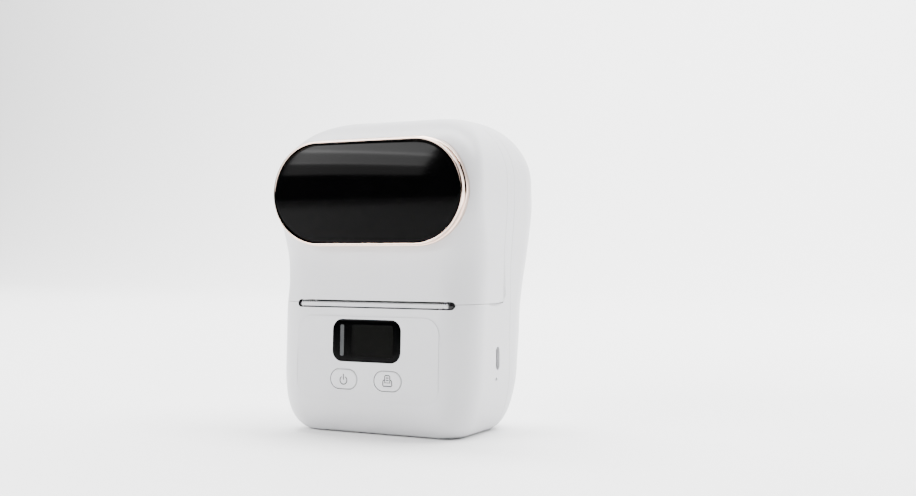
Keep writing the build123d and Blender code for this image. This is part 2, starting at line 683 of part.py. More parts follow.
upright = Plane(origin=(MECH_X, BAY_Y, RACK_Z[0]), x_dir=(0, 1, 0), z_dir=(0, 0, 1))
guide_pinion = gear(RACK_TEETH, RACK_MODULE, upright, RACK_Z[1] - RACK_Z[0], 0.0, 1.2 + RUNNING_FIT)
save(guide_pinion, "guide_pinion")


# ---------------------------------------------------------------- print mechanism
SEAT_TURN = math.atan2(HINGE_Y - PLATEN_Y, PLATEN_Z - HINGE_Z)
PLATE_OUTLINE = [(-28.0, MECH_BASE_Z), (-12.0, MECH_BASE_Z), (-12.0, 40.5), (5.0, 40.5), (5.0, 60.0),
                 (2.0, 65.0), (-19.0, 65.0), (-26.0, 64.0), (-28.0, 62.0)]


def frame_plate(x0):
    """One side plate with the open bearing seat for the platen."""
    with BuildPart() as plate:
        add(side_plate(x0, x0 + SHEET, PLATE_OUTLINE))
        rod_x(x0 - 1, x0 + SHEET + 1, PLATEN_Y, PLATEN_Z, BUSH_RADIUS + 0.08, mode=Mode.SUBTRACT)
        with BuildSketch(Plane(origin=(x0 - 1, PLATEN_Y, PLATEN_Z), x_dir=(0, 1, 0), z_dir=(1, 0, 0))):
            with BuildLine():
                wide = BUSH_RADIUS + 0.08
                way = (math.cos(SEAT_TURN), math.sin(SEAT_TURN))
                Polyline((-way[1] * wide, way[0] * wide),
                         (9 * way[0] - way[1] * (wide + 0.6), 9 * way[1] + way[0] * (wide + 0.6)),
                         (9 * way[0] + way[1] * (wide + 0.6), 9 * way[1] - way[0] * (wide + 0.6)),
                         (way[1] * wide, -way[0] * wide), close=True)
            make_face()
        extrude(amount=SHEET + 2, mode=Mode.SUBTRACT)
        rod_x(x0 - 1, x0 + SHEET + 1, HEAD_PIVOT_Y, HEAD_PIVOT_Z, 1.0, mode=Mode.SUBTRACT)
    return plate.part


LEFT_PLATE_X = MECH_X - PLATE_X - SHEET
RIGHT_PLATE_X = MECH_X + PLATE_X
SPRING_SEATS = [(MECH_X - 15.0, -22.1), (MECH_X + 15.0, -22.1)]
HEAD_SINK_Z = (49.6, 51.4)

with BuildPart() as mechanism_frame:
    add(frame_plate(LEFT_PLATE_X))
    add(frame_plate(RIGHT_PLATE_X))
    block(LEFT_PLATE_X, RIGHT_PLATE_X + SHEET, -28.0, -16.2, MECH_BASE_Z, MECH_BASE_Z + SHEET)
    for tab_x, tab_y in MECH_TABS:
        block(tab_x - 3.0, tab_x + 3.0, -26.2, -20.5, MECH_BASE_Z, MECH_BASE_Z + SHEET)
    for tab_x, tab_y in MECH_TABS:
        rod_z(MECH_BASE_Z - 1, MECH_BASE_Z + SHEET + 1, tab_x, tab_y, 0.9, mode=Mode.SUBTRACT)
    rod_x(LEFT_PLATE_X - 1, LEFT_PLATE_X + SHEET + 1, MOTOR_Y, MOTOR_Z, 2.6, mode=Mode.SUBTRACT)
    rod_x(OUTER_GEAR_X[0] - 0.5, LEFT_PLATE_X, IDLER[0], IDLER[1], 1.5)
save(mechanism_frame.part, "mechanism_frame")

mechanism_screws = group([screw(x, y, MECH_BASE_Z + SHEET, (0, 0, -1), 1.7, 1.1, 0.9, 3.6)
                          for x, y in MECH_TABS])
save(mechanism_screws, "mechanism_screws")

with BuildPart() as head_heatsink:
    block(MECH_X - 27.6, MECH_X + 27.6, -26.5, -10.9, HEAD_SINK_Z[0], HEAD_SINK_Z[1])
    for index in range(9):
        middle = MECH_X - 24.0 + index * 6.0
        if abs(abs(middle - MECH_X) - 15.0) > 3.5:
            block(middle - 0.5, middle + 0.5, -25.5, -17.0, 47.2, HEAD_SINK_Z[0])
    for side in (-1, 1):
        ear = MECH_X + side * 28.2
        block(ear - 0.6, ear + 0.6, -14.7, -10.9, HEAD_PIVOT_Z - 2.0, HEAD_SINK_Z[1])
        rod_x(ear - 1, ear + 1, HEAD_PIVOT_Y, HEAD_PIVOT_Z, 1.0 + 0.05, mode=Mode.SUBTRACT)
save(head_heatsink.part, "head_heatsink")

with BuildPart() as print_head:
    block(MECH_X - 27.0, MECH_X + 27.0, -25.9, -17.1, HEAD_SINK_Z[1], HEAD_TOP_Z - 0.25)
    with BuildSketch(Plane.YZ.offset(MECH_X - 25.0)):
        with Locations((PLATEN_Y, HEAD_TOP_Z - 0.25)):
            Ellipse(1.4, 0.25)
    extrude(amount=50.0)
save(print_head.part, "print_head")

with BuildPart() as head_pivot_pin:
    rod_x(LEFT_PLATE_X - 0.5, RIGHT_PLATE_X + SHEET + 0.5, HEAD_PIVOT_Y, HEAD_PIVOT_Z, 1.0)
save(head_pivot_pin.part, "head_pivot_pin")


def pressure_spring(x, y):
    """A short compression spring between the frame floor and the heatsink."""
    low = MECH_BASE_Z + SHEET
    high = HEAD_SINK_Z[0] - 0.3
    wire = 0.3
    with BuildPart() as coil:
        with BuildLine() as path:
            Helix(pitch=(high - low - 2 * wire) / 4, height=high - low - 2 * wire, radius=2.0,
                  center=(x, y, low + wire))
        with BuildSketch(Plane(origin=path.line @ 0, z_dir=path.line % 0)):
            Circle(wire)
        sweep(is_frenet=True)
    return coil.part


save(group([pressure_spring(x, y) for x, y in SPRING_SEATS]), "head_springs")

FLEX_TOP_Z = HEAD_SINK_Z[0] - 0.4
FLEX_X = (MECH_X - 9.0, MECH_X + 9.0)
FLEX_Y = -14.9
FLEX_SOCKET_Z = 37.0
with BuildPart() as head_flex:
    with BuildSketch(Plane.YZ.offset(FLEX_X[0])):
        with BuildLine():
            FilletPolyline((FLEX_Y, FLEX_TOP_Z), (FLEX_Y, FLEX_SOCKET_Z), (BOARD_REAR_Y + 3.16, FLEX_SOCKET_Z),
                           radius=3.0)
            offset(amount=0.15, side=Side.BOTH)
        make_face()
    extrude(amount=FLEX_X[1] - FLEX_X[0])
save(head_flex.part, "head_flex")

with BuildPart() as flex_socket:
    block(FLEX_X[0] - 1.0, FLEX_X[1] + 1.0, BOARD_REAR_Y, BOARD_REAR_Y + 3.0,
          FLEX_SOCKET_Z - 2.0, FLEX_SOCKET_Z + 2.0)
save(flex_socket.part, "flex_socket")

with BuildPart() as paper_sensor:
    add(side_plate(MECH_X - 5.0, MECH_X + 5.0, [(-12.79, 61.0), (-10.92, 68.0), (-8.4, 67.3), (-10.3, 60.3)]))
save(paper_sensor.part, "paper_sensor")

MOTOR_FACE_X = LEFT_PLATE_X + SHEET
with BuildPart() as stepper_motor:
    rod_x(MOTOR_FACE_X, MOTOR_FACE_X + 13.6, MOTOR_Y, MOTOR_Z, MOTOR_RADIUS)
    rod_x(LEFT_PLATE_X - 0.6, MOTOR_FACE_X, MOTOR_Y, MOTOR_Z, 2.5)
    rod_x(LEFT_PLATE_X - 3, MOTOR_FACE_X + 14, MOTOR_Y, MOTOR_Z, 1.0 + 0.05, mode=Mode.SUBTRACT)
save(stepper_motor.part, "stepper_motor")

GEAR_WIDTH = OUTER_GEAR_X[1] - OUTER_GEAR_X[0]
with BuildPart() as motor_pinion:
    add(gear(PINION_TEETH, GEAR_MODULE, across(OUTER_GEAR_X[0], MOTOR), GEAR_WIDTH,
             bearing(MOTOR, IDLER) + 180.0 / PINION_TEETH, 0))
    rod_x(OUTER_GEAR_X[0] - 0.3, MOTOR_FACE_X + 12.0, MOTOR_Y, MOTOR_Z, 1.0)
save(motor_pinion.part, "motor_pinion")

with BuildPart() as drive_idler:
    add(gear(IDLER_SMALL_TEETH, GEAR_MODULE, across(OUTER_GEAR_X[1], IDLER), INNER_GEAR_X[1] - OUTER_GEAR_X[1],
             bearing(IDLER, PLATEN) + 180.0 / IDLER_SMALL_TEETH, 1.5 + RUNNING_FIT))
    add(gear(IDLER_LARGE_TEETH, GEAR_MODULE, across(OUTER_GEAR_X[0], IDLER), GEAR_WIDTH,
             bearing(IDLER, MOTOR), 1.5 + RUNNING_FIT))
save(drive_idler.part, "drive_idler")


# ---------------------------------------------------------------- platen roller
with BuildPart() as platen_roller:
    rod_x(MECH_X - PLATEN_HALF, MECH_X + PLATEN_HALF, PLATEN_Y, PLATEN_Z, PLATEN_RADIUS)
    rod_x(MECH_X - PLATEN_HALF - 1, MECH_X + PLATEN_HALF + 1, PLATEN_Y, PLATEN_Z, SHAFT_RADIUS,
          mode=Mode.SUBTRACT)
save(platen_roller.part, "platen_roller")

with BuildPart() as platen_shaft:
    rod_x(INNER_GEAR_X[0] - 0.1, MECH_X + 33.2, PLATEN_Y, PLATEN_Z, SHAFT_RADIUS)
save(platen_shaft.part, "platen_shaft")

with BuildPart() as platen_gear:
    add(gear(PLATEN_TEETH, GEAR_MODULE, across(INNER_GEAR_X[0], PLATEN), GEAR_WIDTH,
             bearing(PLATEN, IDLER), SHAFT_RADIUS))
save(platen_gear.part, "platen_gear")


def bush(side):
    """A flanged bearing bush held in the lid's ear and seated in the frame."""
    with BuildPart() as ring:
        start = MECH_X + side * (PLATEN_HALF + 1.2)
        step = MECH_X + side * (PLATEN_HALF + 2.0)
        end = MECH_X + side * 33.0
        rod_x(min(start, step), max(start, step), PLATEN_Y, PLATEN_Z, BUSH_RADIUS + 0.8)
        rod_x(min(step, end), max(step, end), PLATEN_Y, PLATEN_Z, BUSH_RADIUS)
        rod_x(min(start, end) - 1, max(start, end) + 1, PLATEN_Y, PLATEN_Z, SHAFT_RADIUS + 0.05,
              mode=Mode.SUBTRACT)
    return ring.part


save(group([bush(-1), bush(1)]), "platen_bushes")


# ---------------------------------------------------------------- tear bar
TEAR_X = (-31.4, 35.2)
TEAR_Z = (50.8, 52.55, 52.95)
TEAR_WINGS_X = (-32.2, 37.0)
TEAR_WINGS_Z = 52.0
TEAR_TEETH = 78
TEAR_RECESS = 0.3
TEAR_THICKNESS = 0.9
TEAR_FLOOR_Y = -32.2

with BuildPart() as tear_bar:
    left, right = TEAR_X
    low, root, tip = TEAR_Z
    pitch = (right - left) / TEAR_TEETH
    outline = [(TEAR_WINGS_X[0], low), (TEAR_WINGS_X[0], TEAR_WINGS_Z), (left, TEAR_WINGS_Z), (left, root)]
    for tooth in range(TEAR_TEETH):
        outline.append((left + (tooth + 0.5) * pitch, tip))
        outline.append((left + (tooth + 1) * pitch, root))
    outline += [(right, TEAR_WINGS_Z), (TEAR_WINGS_X[1], TEAR_WINGS_Z), (TEAR_WINGS_X[1], low)]
    with BuildSketch(Plane.XZ.offset(29.0)):
        with BuildLine():
            Polyline(*outline, close=True)
        make_face()
    extrude(amount=7.0)
    add(body_form(TEAR_RECESS), mode=Mode.INTERSECT)
    add(body_form(TEAR_RECESS + TEAR_THICKNESS), mode=Mode.SUBTRACT)
    block(left + 0.4, 30.0, TEAR_FLOOR_Y, -30.0, SLOT_Z[0] + 0.02, low + 0.02)
    block(-27.0, 27.0, -30.8, -30.0, 48.6, low)
save(tear_bar.part, "tear_bar")


# ---------------------------------------------------------------- lid
LID_LEFT_EAR = (MECH_X - 33.0, MECH_X - 31.0)
LID_RIGHT_EAR = (MECH_X + 31.0, MECH_X + 33.0)
LINER_SCREWS = [(-30.0, 84.0), (30.0, 84.0), (-30.0, 108.0), (30.0, 108.0)]
LINER_Y = (-24.6, -23.0)
LINER_Z = (66.0, 118.0)
KNUCKLE_X = (14.6, 18.6)
KNUCKLE_RADIUS = 3.0
KNUCKLE_TOP = 4.2

with BuildPart() as lid_cover:
    add(OUTER)
    add(INNER, mode=Mode.SUBTRACT)
    block(-REACH, REACH, LID_SEAM_Y - SEAM_GAP / 2, REACH, BELOW, ABOVE, mode=Mode.SUBTRACT)
    block(-REACH, REACH, -REACH, REACH, BELOW, LID_EDGE_Z + SEAM_GAP / 2, mode=Mode.SUBTRACT)
    with BuildPart(mode=Mode.PRIVATE) as swing_room:
        block(-REACH, REACH, HINGE_Y, 0, LID_EDGE_Z - 1, LID_EDGE_Z + 2)
        rod_x(-61, 61, HINGE_Y, HINGE_Z, HINGE_Z - LID_EDGE_Z - SEAM_GAP / 2, mode=Mode.SUBTRACT)
    add(swing_room.part, mode=Mode.SUBTRACT)
    with BuildPart(mode=Mode.PRIVATE) as knuckles:
        for side in (-1, 1):
            ends = sorted((side * KNUCKLE_X[0], side * KNUCKLE_X[1]))
            block(*ends, HINGE_Y - KNUCKLE_RADIUS, HINGE_Y + KNUCKLE_RADIUS, HINGE_Z, HINGE_Z + KNUCKLE_TOP)
            rod_x(*ends, HINGE_Y, HINGE_Z, KNUCKLE_RADIUS)
    add(knuckles.part)
    for side in (-1, 1):
        ends = sorted((side * (KNUCKLE_X[0] - 0.6), side * (KNUCKLE_X[1] + 0.4)))
        rod_x(*ends, HINGE_Y, HINGE_Z, PIN_RADIUS + RUNNING_FIT, mode=Mode.SUBTRACT)
    add(slot_bar(-RING_SIZE[0] / 2, RING_SIZE[0] / 2, FACE_Z - RING_SIZE[1] / 2, FACE_Z + RING_SIZE[1] / 2,
                 -45.0, RING_BACK_Y), mode=Mode.SUBTRACT)
    add(slot_bar(SLOT_X[0], SLOT_X[1], SLOT_Z[0], SLOT_Z[1], -40, -30), mode=Mode.SUBTRACT)
save(lid_cover.part, "lid_cover")


def pill(inset, y0, y1):
    """The face outline moved inwards, as a bar from y0 to y1."""
    return slot_bar(-RING_SIZE[0] / 2 + inset, RING_SIZE[0] / 2 - inset,
                    FACE_Z - RING_SIZE[1] / 2 + inset, FACE_Z + RING_SIZE[1] / 2 - inset, y0, y1)


with BuildPart() as trim_ring:
    add(pill(RING_STEP, RING_FRONT_Y, RING_BACK_Y))
    fillet(trim_ring.faces().sort_by(Axis.Y)[0].edges(), 0.3)
    add(pill(0.0, RING_FOOT_Y, RING_BACK_Y))
    add(pill(RING_WALL, -45.0, -20.0), mode=Mode.SUBTRACT)
save(trim_ring.part, "trim_ring")

with BuildPart() as face_panel:
    add(pill(RING_WALL, -45.0, RING_BACK_Y))
    with Locations((0, FACE_FRONT_Y + FACE_CURVE_LEVEL, FACE_Z)):
        Torus(FACE_CURVE_LEVEL - FACE_CURVE_UPRIGHT, FACE_CURVE_UPRIGHT, mode=Mode.INTERSECT)
    add(pill(RING_WALL + FACE_RIM, FACE_HOLLOW_Y, -20.0), mode=Mode.SUBTRACT)
    for screw_x, screw_z in LINER_SCREWS:
        rod_y(FACE_HOLLOW_Y, LINER_Y[0], screw_x, screw_z, 2.4)
        rod_y(-31.0, LINER_Y[0] + 1, screw_x, screw_z, 0.9, mode=Mode.SUBTRACT)
save(face_panel.part, "face_panel")

with BuildPart() as lid_liner:
    block(-REACH, REACH, LINER_Y[0], LINER_Y[1], *LINER_Z)
    block(-REACH, REACH, -REACH, LINER_Y[0] + 0.01, LINER_Z[0], LINER_Z[0] + 3.0)
    add(FITTED, mode=Mode.INTERSECT)
    for ear in (LID_LEFT_EAR, LID_RIGHT_EAR):
        block(ear[0], ear[1], -26.4, -21.0, PLATEN_Z, 68.0)
        rod_x(ear[0], ear[1], PLATEN_Y, PLATEN_Z, 5.0)
        rod_x(ear[0] - 1, ear[1] + 1, PLATEN_Y, PLATEN_Z, BUSH_RADIUS, mode=Mode.SUBTRACT)
    for screw_x, screw_z in LINER_SCREWS:
        rod_y(LINER_Y[0] - 1, LINER_Y[1] + 1, screw_x, screw_z, 0.9, mode=Mode.SUBTRACT)
save(lid_liner.part, "lid_liner")

liner_screws = group([screw(x, LINER_Y[1], z, (0, -1, 0), 1.7, 1.1, 0.9, 6.4) for x, z in LINER_SCREWS])
save(liner_screws, "liner_screws")


# ---------------------------------------------------------------- hinge
def hinge_bracket(side):
    """A gooseneck arm that hangs from the housing strip and reaches round to the hinge pin."""
    low, high = sorted((side * BRACKET_X[0], side * BRACKET_X[1]))
    past = (low - 1, high + 1)
    with BuildPart() as arm:
        rod_x(low, high, HINGE_Y, HINGE_Z, BRACKET_ARM[1])
        rod_x(*past, HINGE_Y, HINGE_Z, BRACKET_ARM[0], mode=Mode.SUBTRACT)
        block(*past, HINGE_Y - 20.0, HINGE_Y - BRACKET_STEM, HINGE_Z - 20.0, HINGE_Z + 20.0,
              mode=Mode.SUBTRACT)
        block(*past, HINGE_Y - 20.0, HINGE_Y + 9.0, HINGE_Z, HINGE_Z + 20.0, mode=Mode.SUBTRACT)
        block(low, high, HINGE_Y - BRACKET_STEM, HINGE_Y + BRACKET_STEM, HINGE_Z - 11.0, HINGE_Z)
        rod_x(low, high, HINGE_Y, HINGE_Z, BRACKET_EYE)
        rod_x(*past, HINGE_Y, HINGE_Z, PIN_RADIUS, mode=Mode.SUBTRACT)
        add(FITTED, mode=Mode.INTERSECT)
    return arm.part


save(group([hinge_bracket(-1), hinge_bracket(1)]), "hinge_brackets")


def hinge_pin(side):
    """A plain steel pin through bracket and lid knuckle."""
    with BuildPart() as pin:
        ends = (side * 14.2, side * 22.4)
        rod_x(min(ends), max(ends), HINGE_Y, HINGE_Z, PIN_RADIUS)
    return pin.part


save(group([hinge_pin(-1), hinge_pin(1)]), "hinge_pins")
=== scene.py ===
import bpy
import bmesh
import json
import math
from mathutils import Vector, Matrix

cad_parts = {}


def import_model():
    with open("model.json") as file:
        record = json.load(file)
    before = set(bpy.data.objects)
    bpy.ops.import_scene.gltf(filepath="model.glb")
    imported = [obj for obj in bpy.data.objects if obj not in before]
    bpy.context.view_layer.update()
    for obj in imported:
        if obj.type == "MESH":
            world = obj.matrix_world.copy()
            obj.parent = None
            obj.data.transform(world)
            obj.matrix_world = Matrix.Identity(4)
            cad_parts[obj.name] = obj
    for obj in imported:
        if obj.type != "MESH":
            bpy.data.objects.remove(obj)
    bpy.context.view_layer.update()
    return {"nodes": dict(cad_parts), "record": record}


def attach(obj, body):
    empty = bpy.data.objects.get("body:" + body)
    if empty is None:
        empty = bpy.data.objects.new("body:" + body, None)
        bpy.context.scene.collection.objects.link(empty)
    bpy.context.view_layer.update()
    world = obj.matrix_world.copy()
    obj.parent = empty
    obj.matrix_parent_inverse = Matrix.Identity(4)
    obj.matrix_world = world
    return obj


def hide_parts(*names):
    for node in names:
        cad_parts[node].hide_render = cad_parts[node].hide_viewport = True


# Thermal label printer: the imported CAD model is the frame, and the outer skins, the face panel, the keys
# and the tear bar are rebuilt here in finer mesh. Lengths are in millimetres in the tables and turned into
# metres by MM where a mesh is made.
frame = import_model()
MM = 0.001

# ---------------------------------------------------------------- driving sizes, as in the CAD
HEIGHT = 127.0
WALL = 2.2
BASE_SIDE = (10.0, 25.0)
BASE_FRONT = (9.5, 15.0)
CROWN_RISE = 26.0
CROWN_Z = HEIGHT - CROWN_RISE
CROWN_INSETS = (25.0, 29.0, 26.0)
CROWN_CORNER_LOSS = (1.0, 14.0)
REAR_SEAM_Y = 4.0
LID_SEAM_Y = -3.0
LID_EDGE_Z = 52.4
SEAM_GAP = 0.16
HINGE_CLEARANCE = 0.2
STATIONS = [
    (10.0, 44.3, -34.95, 24.8, 13.8, 18.3),
    (24.0, 44.6, -34.9, 25.9, 14.3, 18.8),
    (38.0, 44.7, -34.2, 27.8, 14.3, 18.8),
    (50.0, 44.9, -33.4, 28.8, 14.3, 19.0),
    (60.0, 45.0, -32.5, 30.5, 15.2, 18.0),
    (70.0, 45.3, -31.9, 34.0, 14.5, 18.5),
    (80.0, 46.1, -32.2, 37.0, 12.0, 20.5),
    (90.0, 46.8, -32.6, 39.1, 8.5, 22.0),
    (CROWN_Z, 46.8, -32.6, 39.25, 8.5, 22.5),
]
DISPLAY_Z = 37.6
DISPLAY_SIZE = (30.9, 16.6, 4.3)
SCREEN_SIZE = (18.6, 12.6)
SCREEN_SHIFT = 2.6
FACET_LEAN = math.radians(1.96)
FACET_FRONT_Y = -34.28
FACET_HALF_WIDTH = 32.3
FACET_TOP_Z = 47.2
BUTTON_X = 10.05
BUTTON_Z = 22.2
BUTTON_SIZE = (12.3, 7.8)
BUTTON_FRONT_Y = -35.15
ICON_LINE = 0.44
ICON_RISE = 0.03
SLOT_X = (-33.0, 37.8)
SLOT_Z = (50.4, 53.5)
FACE_Z = 96.2
RING_SIZE = (87.4, 42.6)
RING_WALL = 1.3
RING_STEP = 0.45
RING_FOOT_Y = -33.5
RING_FRONT_Y = -36.2
RING_BACK_Y = -25.6
FACE_FRONT_Y = -39.25
FACE_CURVE_UPRIGHT = 68.0
FACE_CURVE_LEVEL = 292.0
USB_Y, USB_Z = -7.5, 30.4
USB_OPENING = (9.4, 3.4)
RESET_Y, RESET_Z = -8.5, 22.2
HINGE_Y, HINGE_Z = -9.5, 120.8
SCALLOP_PLACE = (71.1, -10.3, 69.2)
SCALLOP_RADIUS = 32.0
GROOVE_X = 49.0
GROOVE_RADII = (4.8, 3.7)
GROOVE_Z = (56.0, 72.0)
TEAR_X = (-31.4, 35.2)
TEAR_Z = (50.95, 52.15, 52.9)
TEAR_WINGS_X = (-32.2, 37.0)
TEAR_WINGS_Z = 52.0
TEAR_TEETH = 78
TEAR_RECESS = 0.3
TEAR_THICKNESS = 0.9
TEAR_FLOOR_X = 30.0
TEAR_FLOOR_Y = (-32.2, -30.0)
TEAR_FLANGE_X = 27.0
TEAR_FLANGE_Y = (-30.8, -30.0)
TEAR_FLANGE_LOW_Z = 48.6
REAR_SCREWS = [(-16.0, FACE_Z), (16.0, FACE_Z)]

# Camera and lamps, in metres: lamps are (name, height, depth of the lamp, watts)
CAMERA_PLACE = (0.2401, -0.4298, 0.0727)
CAMERA_YAW = math.radians(26.78)
CAMERA_RISE = 0.0033
CAMERA_LENS = 46.0
FRONT_BOX_PLACE = (-0.50, -0.745)
FRONT_BOX_WIDTH = 0.58
FRONT_BOXES = (("front_box_top", 0.63, 0.16, 7.0), ("front_box_middle", 0.49, 0.14, 4.2),
               ("front_box_low", 0.37, 0.12, 1.0))


# ---------------------------------------------------------------- node materials
def material(name, colour, roughness, metallic=0.0, **extra):
    """A procedural material: slight colour drift, uneven roughness and a fine surface bump."""
    drift = extra.get("drift", 0.03)
    scale = extra.get("scale", 90.0)
    grain = extra.get("grain", 2200.0)
    bump = extra.get("bump", 0.05)
    spread = extra.get("spread", 0.06)
    mat = bpy.data.materials.new(name)
    mat.use_nodes = True
    nodes = mat.node_tree.nodes
    links = mat.node_tree.links
    shader = nodes["Principled BSDF"]
    shader.inputs["Metallic"].default_value = metallic
    shader.inputs["IOR"].default_value = extra.get("ior", 1.46)
    shader.inputs["Coat Weight"].default_value = extra.get("coat", 0.0)
    shader.inputs["Coat Roughness"].default_value = extra.get("coat_roughness", 0.05)
    shader.inputs["Specular IOR Level"].default_value = extra.get("specular", 0.5)
    place = nodes.new("ShaderNodeTexCoord")
    cloud = nodes.new("ShaderNodeTexNoise")
    cloud.inputs["Scale"].default_value = scale
    cloud.inputs["Detail"].default_value = 4.0
    links.new(place.outputs["Object"], cloud.inputs["Vector"])
    tint = nodes.new("ShaderNodeValToRGB")
    low = [max(c * (1 - drift), 0.0) for c in colour]
    high = [min(c * (1 + drift), 1.0) for c in colour]
    tint.color_ramp.elements[0].position = 0.3
    tint.color_ramp.elements[1].position = 0.7
    tint.color_ramp.elements[0].color = (*low, 1)
    tint.color_ramp.elements[1].color = (*high, 1)
    links.new(cloud.outputs["Fac"], tint.inputs["Fac"])
    links.new(tint.outputs["Color"], shader.inputs["Base Color"])
    gloss = nodes.new("ShaderNodeMapRange")
    gloss.inputs["To Min"].default_value = max(roughness - spread / 2, 0.0)
    gloss.inputs["To Max"].default_value = min(roughness + spread / 2, 1.0)
    links.new(cloud.outputs["Fac"], gloss.inputs["Value"])
    links.new(gloss.outputs["Result"], shader.inputs["Roughness"])
    fine = nodes.new("ShaderNodeTexNoise")
    fine.inputs["Scale"].default_value = grain
    fine.inputs["Detail"].default_value = 2.0
    links.new(place.outputs["Object"], fine.inputs["Vector"])
    relief = nodes.new("ShaderNodeBump")
    relief.inputs["Strength"].default_value = bump
    relief.inputs["Distance"].default_value = extra.get("depth", 0.00005)
    links.new(fine.outputs["Fac"], relief.inputs["Height"])
    links.new(relief.outputs["Normal"], shader.inputs["Normal"])
    return mat


MATERIALS = {
    "white_plastic": material("white_plastic", (0.58, 0.58, 0.595), 0.36, drift=0.008, bump=0.10,
                              grain=3000.0, spread=0.05),
    "button_plastic": material("button_plastic", (0.58, 0.58, 0.595), 0.33, drift=0.008, bump=0.06,
                               grain=3200.0),
    "black_gloss": material("black_gloss", (0.0006, 0.0006, 0.0007), 0.09, drift=0.2, bump=0.0, spread=0.02,
                            specular=0.042, ior=1.5),
    "rose_gold": material("rose_gold", (0.90, 0.68, 0.57), 0.12, 1.0, drift=0.02, bump=0.02, spread=0.05),
    "display_glass": material("display_glass", (0.03, 0.035, 0.045), 0.06, drift=0.1, bump=0.0),
    "board_green": material("board_green", (0.02, 0.13, 0.06), 0.35, drift=0.25, scale=400.0, bump=0.1),
    "chip_black": material("chip_black", (0.02, 0.02, 0.022), 0.5, drift=0.15, bump=0.2),
    "can_metal": material("can_metal", (0.55, 0.55, 0.57), 0.42, 0.5, drift=0.05, scale=300.0),
    "battery_wrap": material("battery_wrap", (0.20, 0.24, 0.30), 0.30, drift=0.06, bump=0.1, scale=200.0),
    "grey_plastic": material("grey_plastic", (0.24, 0.25, 0.26), 0.48, drift=0.05, bump=0.25, grain=1600.0),
    "socket_cream": material("socket_cream", (0.76, 0.71, 0.60), 0.42, drift=0.05),
    "lead_red": material("lead_red", (0.45, 0.03, 0.02), 0.40, drift=0.08, bump=0.1),
    "flex_amber": material("flex_amber", (0.50, 0.23, 0.04), 0.22, drift=0.08, bump=0.03),
    "gear_white": material("gear_white", (0.74, 0.74, 0.69), 0.38, drift=0.03, bump=0.1),
    "zinc_sheet": material("zinc_sheet", (0.55, 0.56, 0.58), 0.35, 1.0, drift=0.08, scale=260.0, bump=0.15),
    "screw_steel": material("screw_steel", (0.42, 0.42, 0.44), 0.28, 1.0, drift=0.08, scale=500.0),
    "cast_aluminium": material("cast_aluminium", (0.68, 0.68, 0.70), 0.40, 1.0, drift=0.05, bump=0.3,
                               grain=1500.0),
    "head_ceramic": material("head_ceramic", (0.62, 0.60, 0.54), 0.18, drift=0.04, bump=0.05),
    "brass_pinion": material("brass_pinion", (0.66, 0.47, 0.20), 0.26, 1.0, drift=0.06),
    "platen_rubber": material("platen_rubber", (0.022, 0.022, 0.024), 0.62, drift=0.12, bump=0.4,
                              grain=1800.0),
    # painted shade: a dark grey for the walls of the key holes, standing in for the shade in the gaps round
    # the keys
    "painted_seam_shade": material("painted_seam_shade", (0.16, 0.16, 0.17), 0.45, drift=0.05, bump=0.05),
    # painted shade: a mid grey for the walls of the fine groove round the flat area
    "painted_line_shade": material("painted_line_shade", (0.46, 0.46, 0.475), 0.40, drift=0.02, bump=0.05),
    # painted shadow: near-black for the label slot's walls and the small parts deep in the slot, standing in
    # for the shade inside it
    "tear_shadow": material("tear_shadow", (0.012, 0.012, 0.013), 0.55, drift=0.10, bump=0.1),
    # painted highlight: a lighter strip at the screen's left, standing in for the reflection on the glass's
    # bevel
    "painted_glass_highlight": material("painted_glass_highlight", (0.034, 0.036, 0.038), 0.3, drift=0.08, bump=0.0, scale=300.0),
    "icon_ink": material("icon_ink", (0.045, 0.045, 0.048), 0.45, drift=0.05, bump=0.05),
    "screen_grey": material("screen_grey", (0.0030, 0.0031, 0.0029), 0.25, drift=0.10, bump=0.0, scale=40.0,
                            specular=0.03),
    "tear_plastic": material("tear_plastic", (0.50, 0.50, 0.515), 0.34, drift=0.02, bump=0.08),
}


# ---------------------------------------------------------------- mesh helpers
def new_object(name, bm, slot, smooth=True):
    """Turns a bmesh in millimetres into a shown object in metres."""
    for vert in bm.verts:
        vert.co *= MM
    mesh = bpy.data.meshes.new(name)
    bm.to_mesh(mesh)
    bm.free()
    for poly in mesh.polygons:
        poly.use_smooth = smooth
    obj = bpy.data.objects.new(name, mesh)
    bpy.context.scene.collection.objects.link(obj)
    obj.data.materials.append(MATERIALS[slot])
    return obj


def bake(obj):
    """Applies every modifier of an object to its mesh."""
    graph = bpy.context.evaluated_depsgraph_get()
    mesh = bpy.data.meshes.new_from_object(obj.evaluated_get(graph), depsgraph=graph)
    obj.modifiers.clear()
    old = obj.data
    obj.data = mesh
    bpy.data.meshes.remove(old)
    return obj


def carve(obj, cutters, operation="DIFFERENCE"):
    """Cuts closed tools out of an object, or joins them to it, and removes the tools."""
    for tool in cutters:
        mod = obj.modifiers.new("carve", "BOOLEAN")
        mod.operation = operation
        mod.solver = "EXACT"
        # the cut faces take the tool's material; tools in painted-shade materials darken the walls they cut
        mod.material_mode = "TRANSFER"
        mod.object = tool
    bpy.context.view_layer.update()
    bake(obj)
    for tool in cutters:
        mesh = tool.data
        bpy.data.objects.remove(tool)
        bpy.data.meshes.remove(mesh)
    return obj


def soften(obj, width, segments=3, angle=38.0):
    """Rounds the sharp edges and keeps the broad faces' shading clean."""
    bevel = obj.modifiers.new("soft_edges", "BEVEL")
    bevel.width = width * MM
    bevel.segments = segments
    bevel.limit_method = "ANGLE"
    bevel.angle_limit = math.radians(angle)
    bevel.use_clamp_overlap = True
    bevel.harden_normals = False
    normal = obj.modifiers.new("clean_shading", "WEIGHTED_NORMAL")
    normal.keep_sharp = True
    normal.weight = 80
    return obj


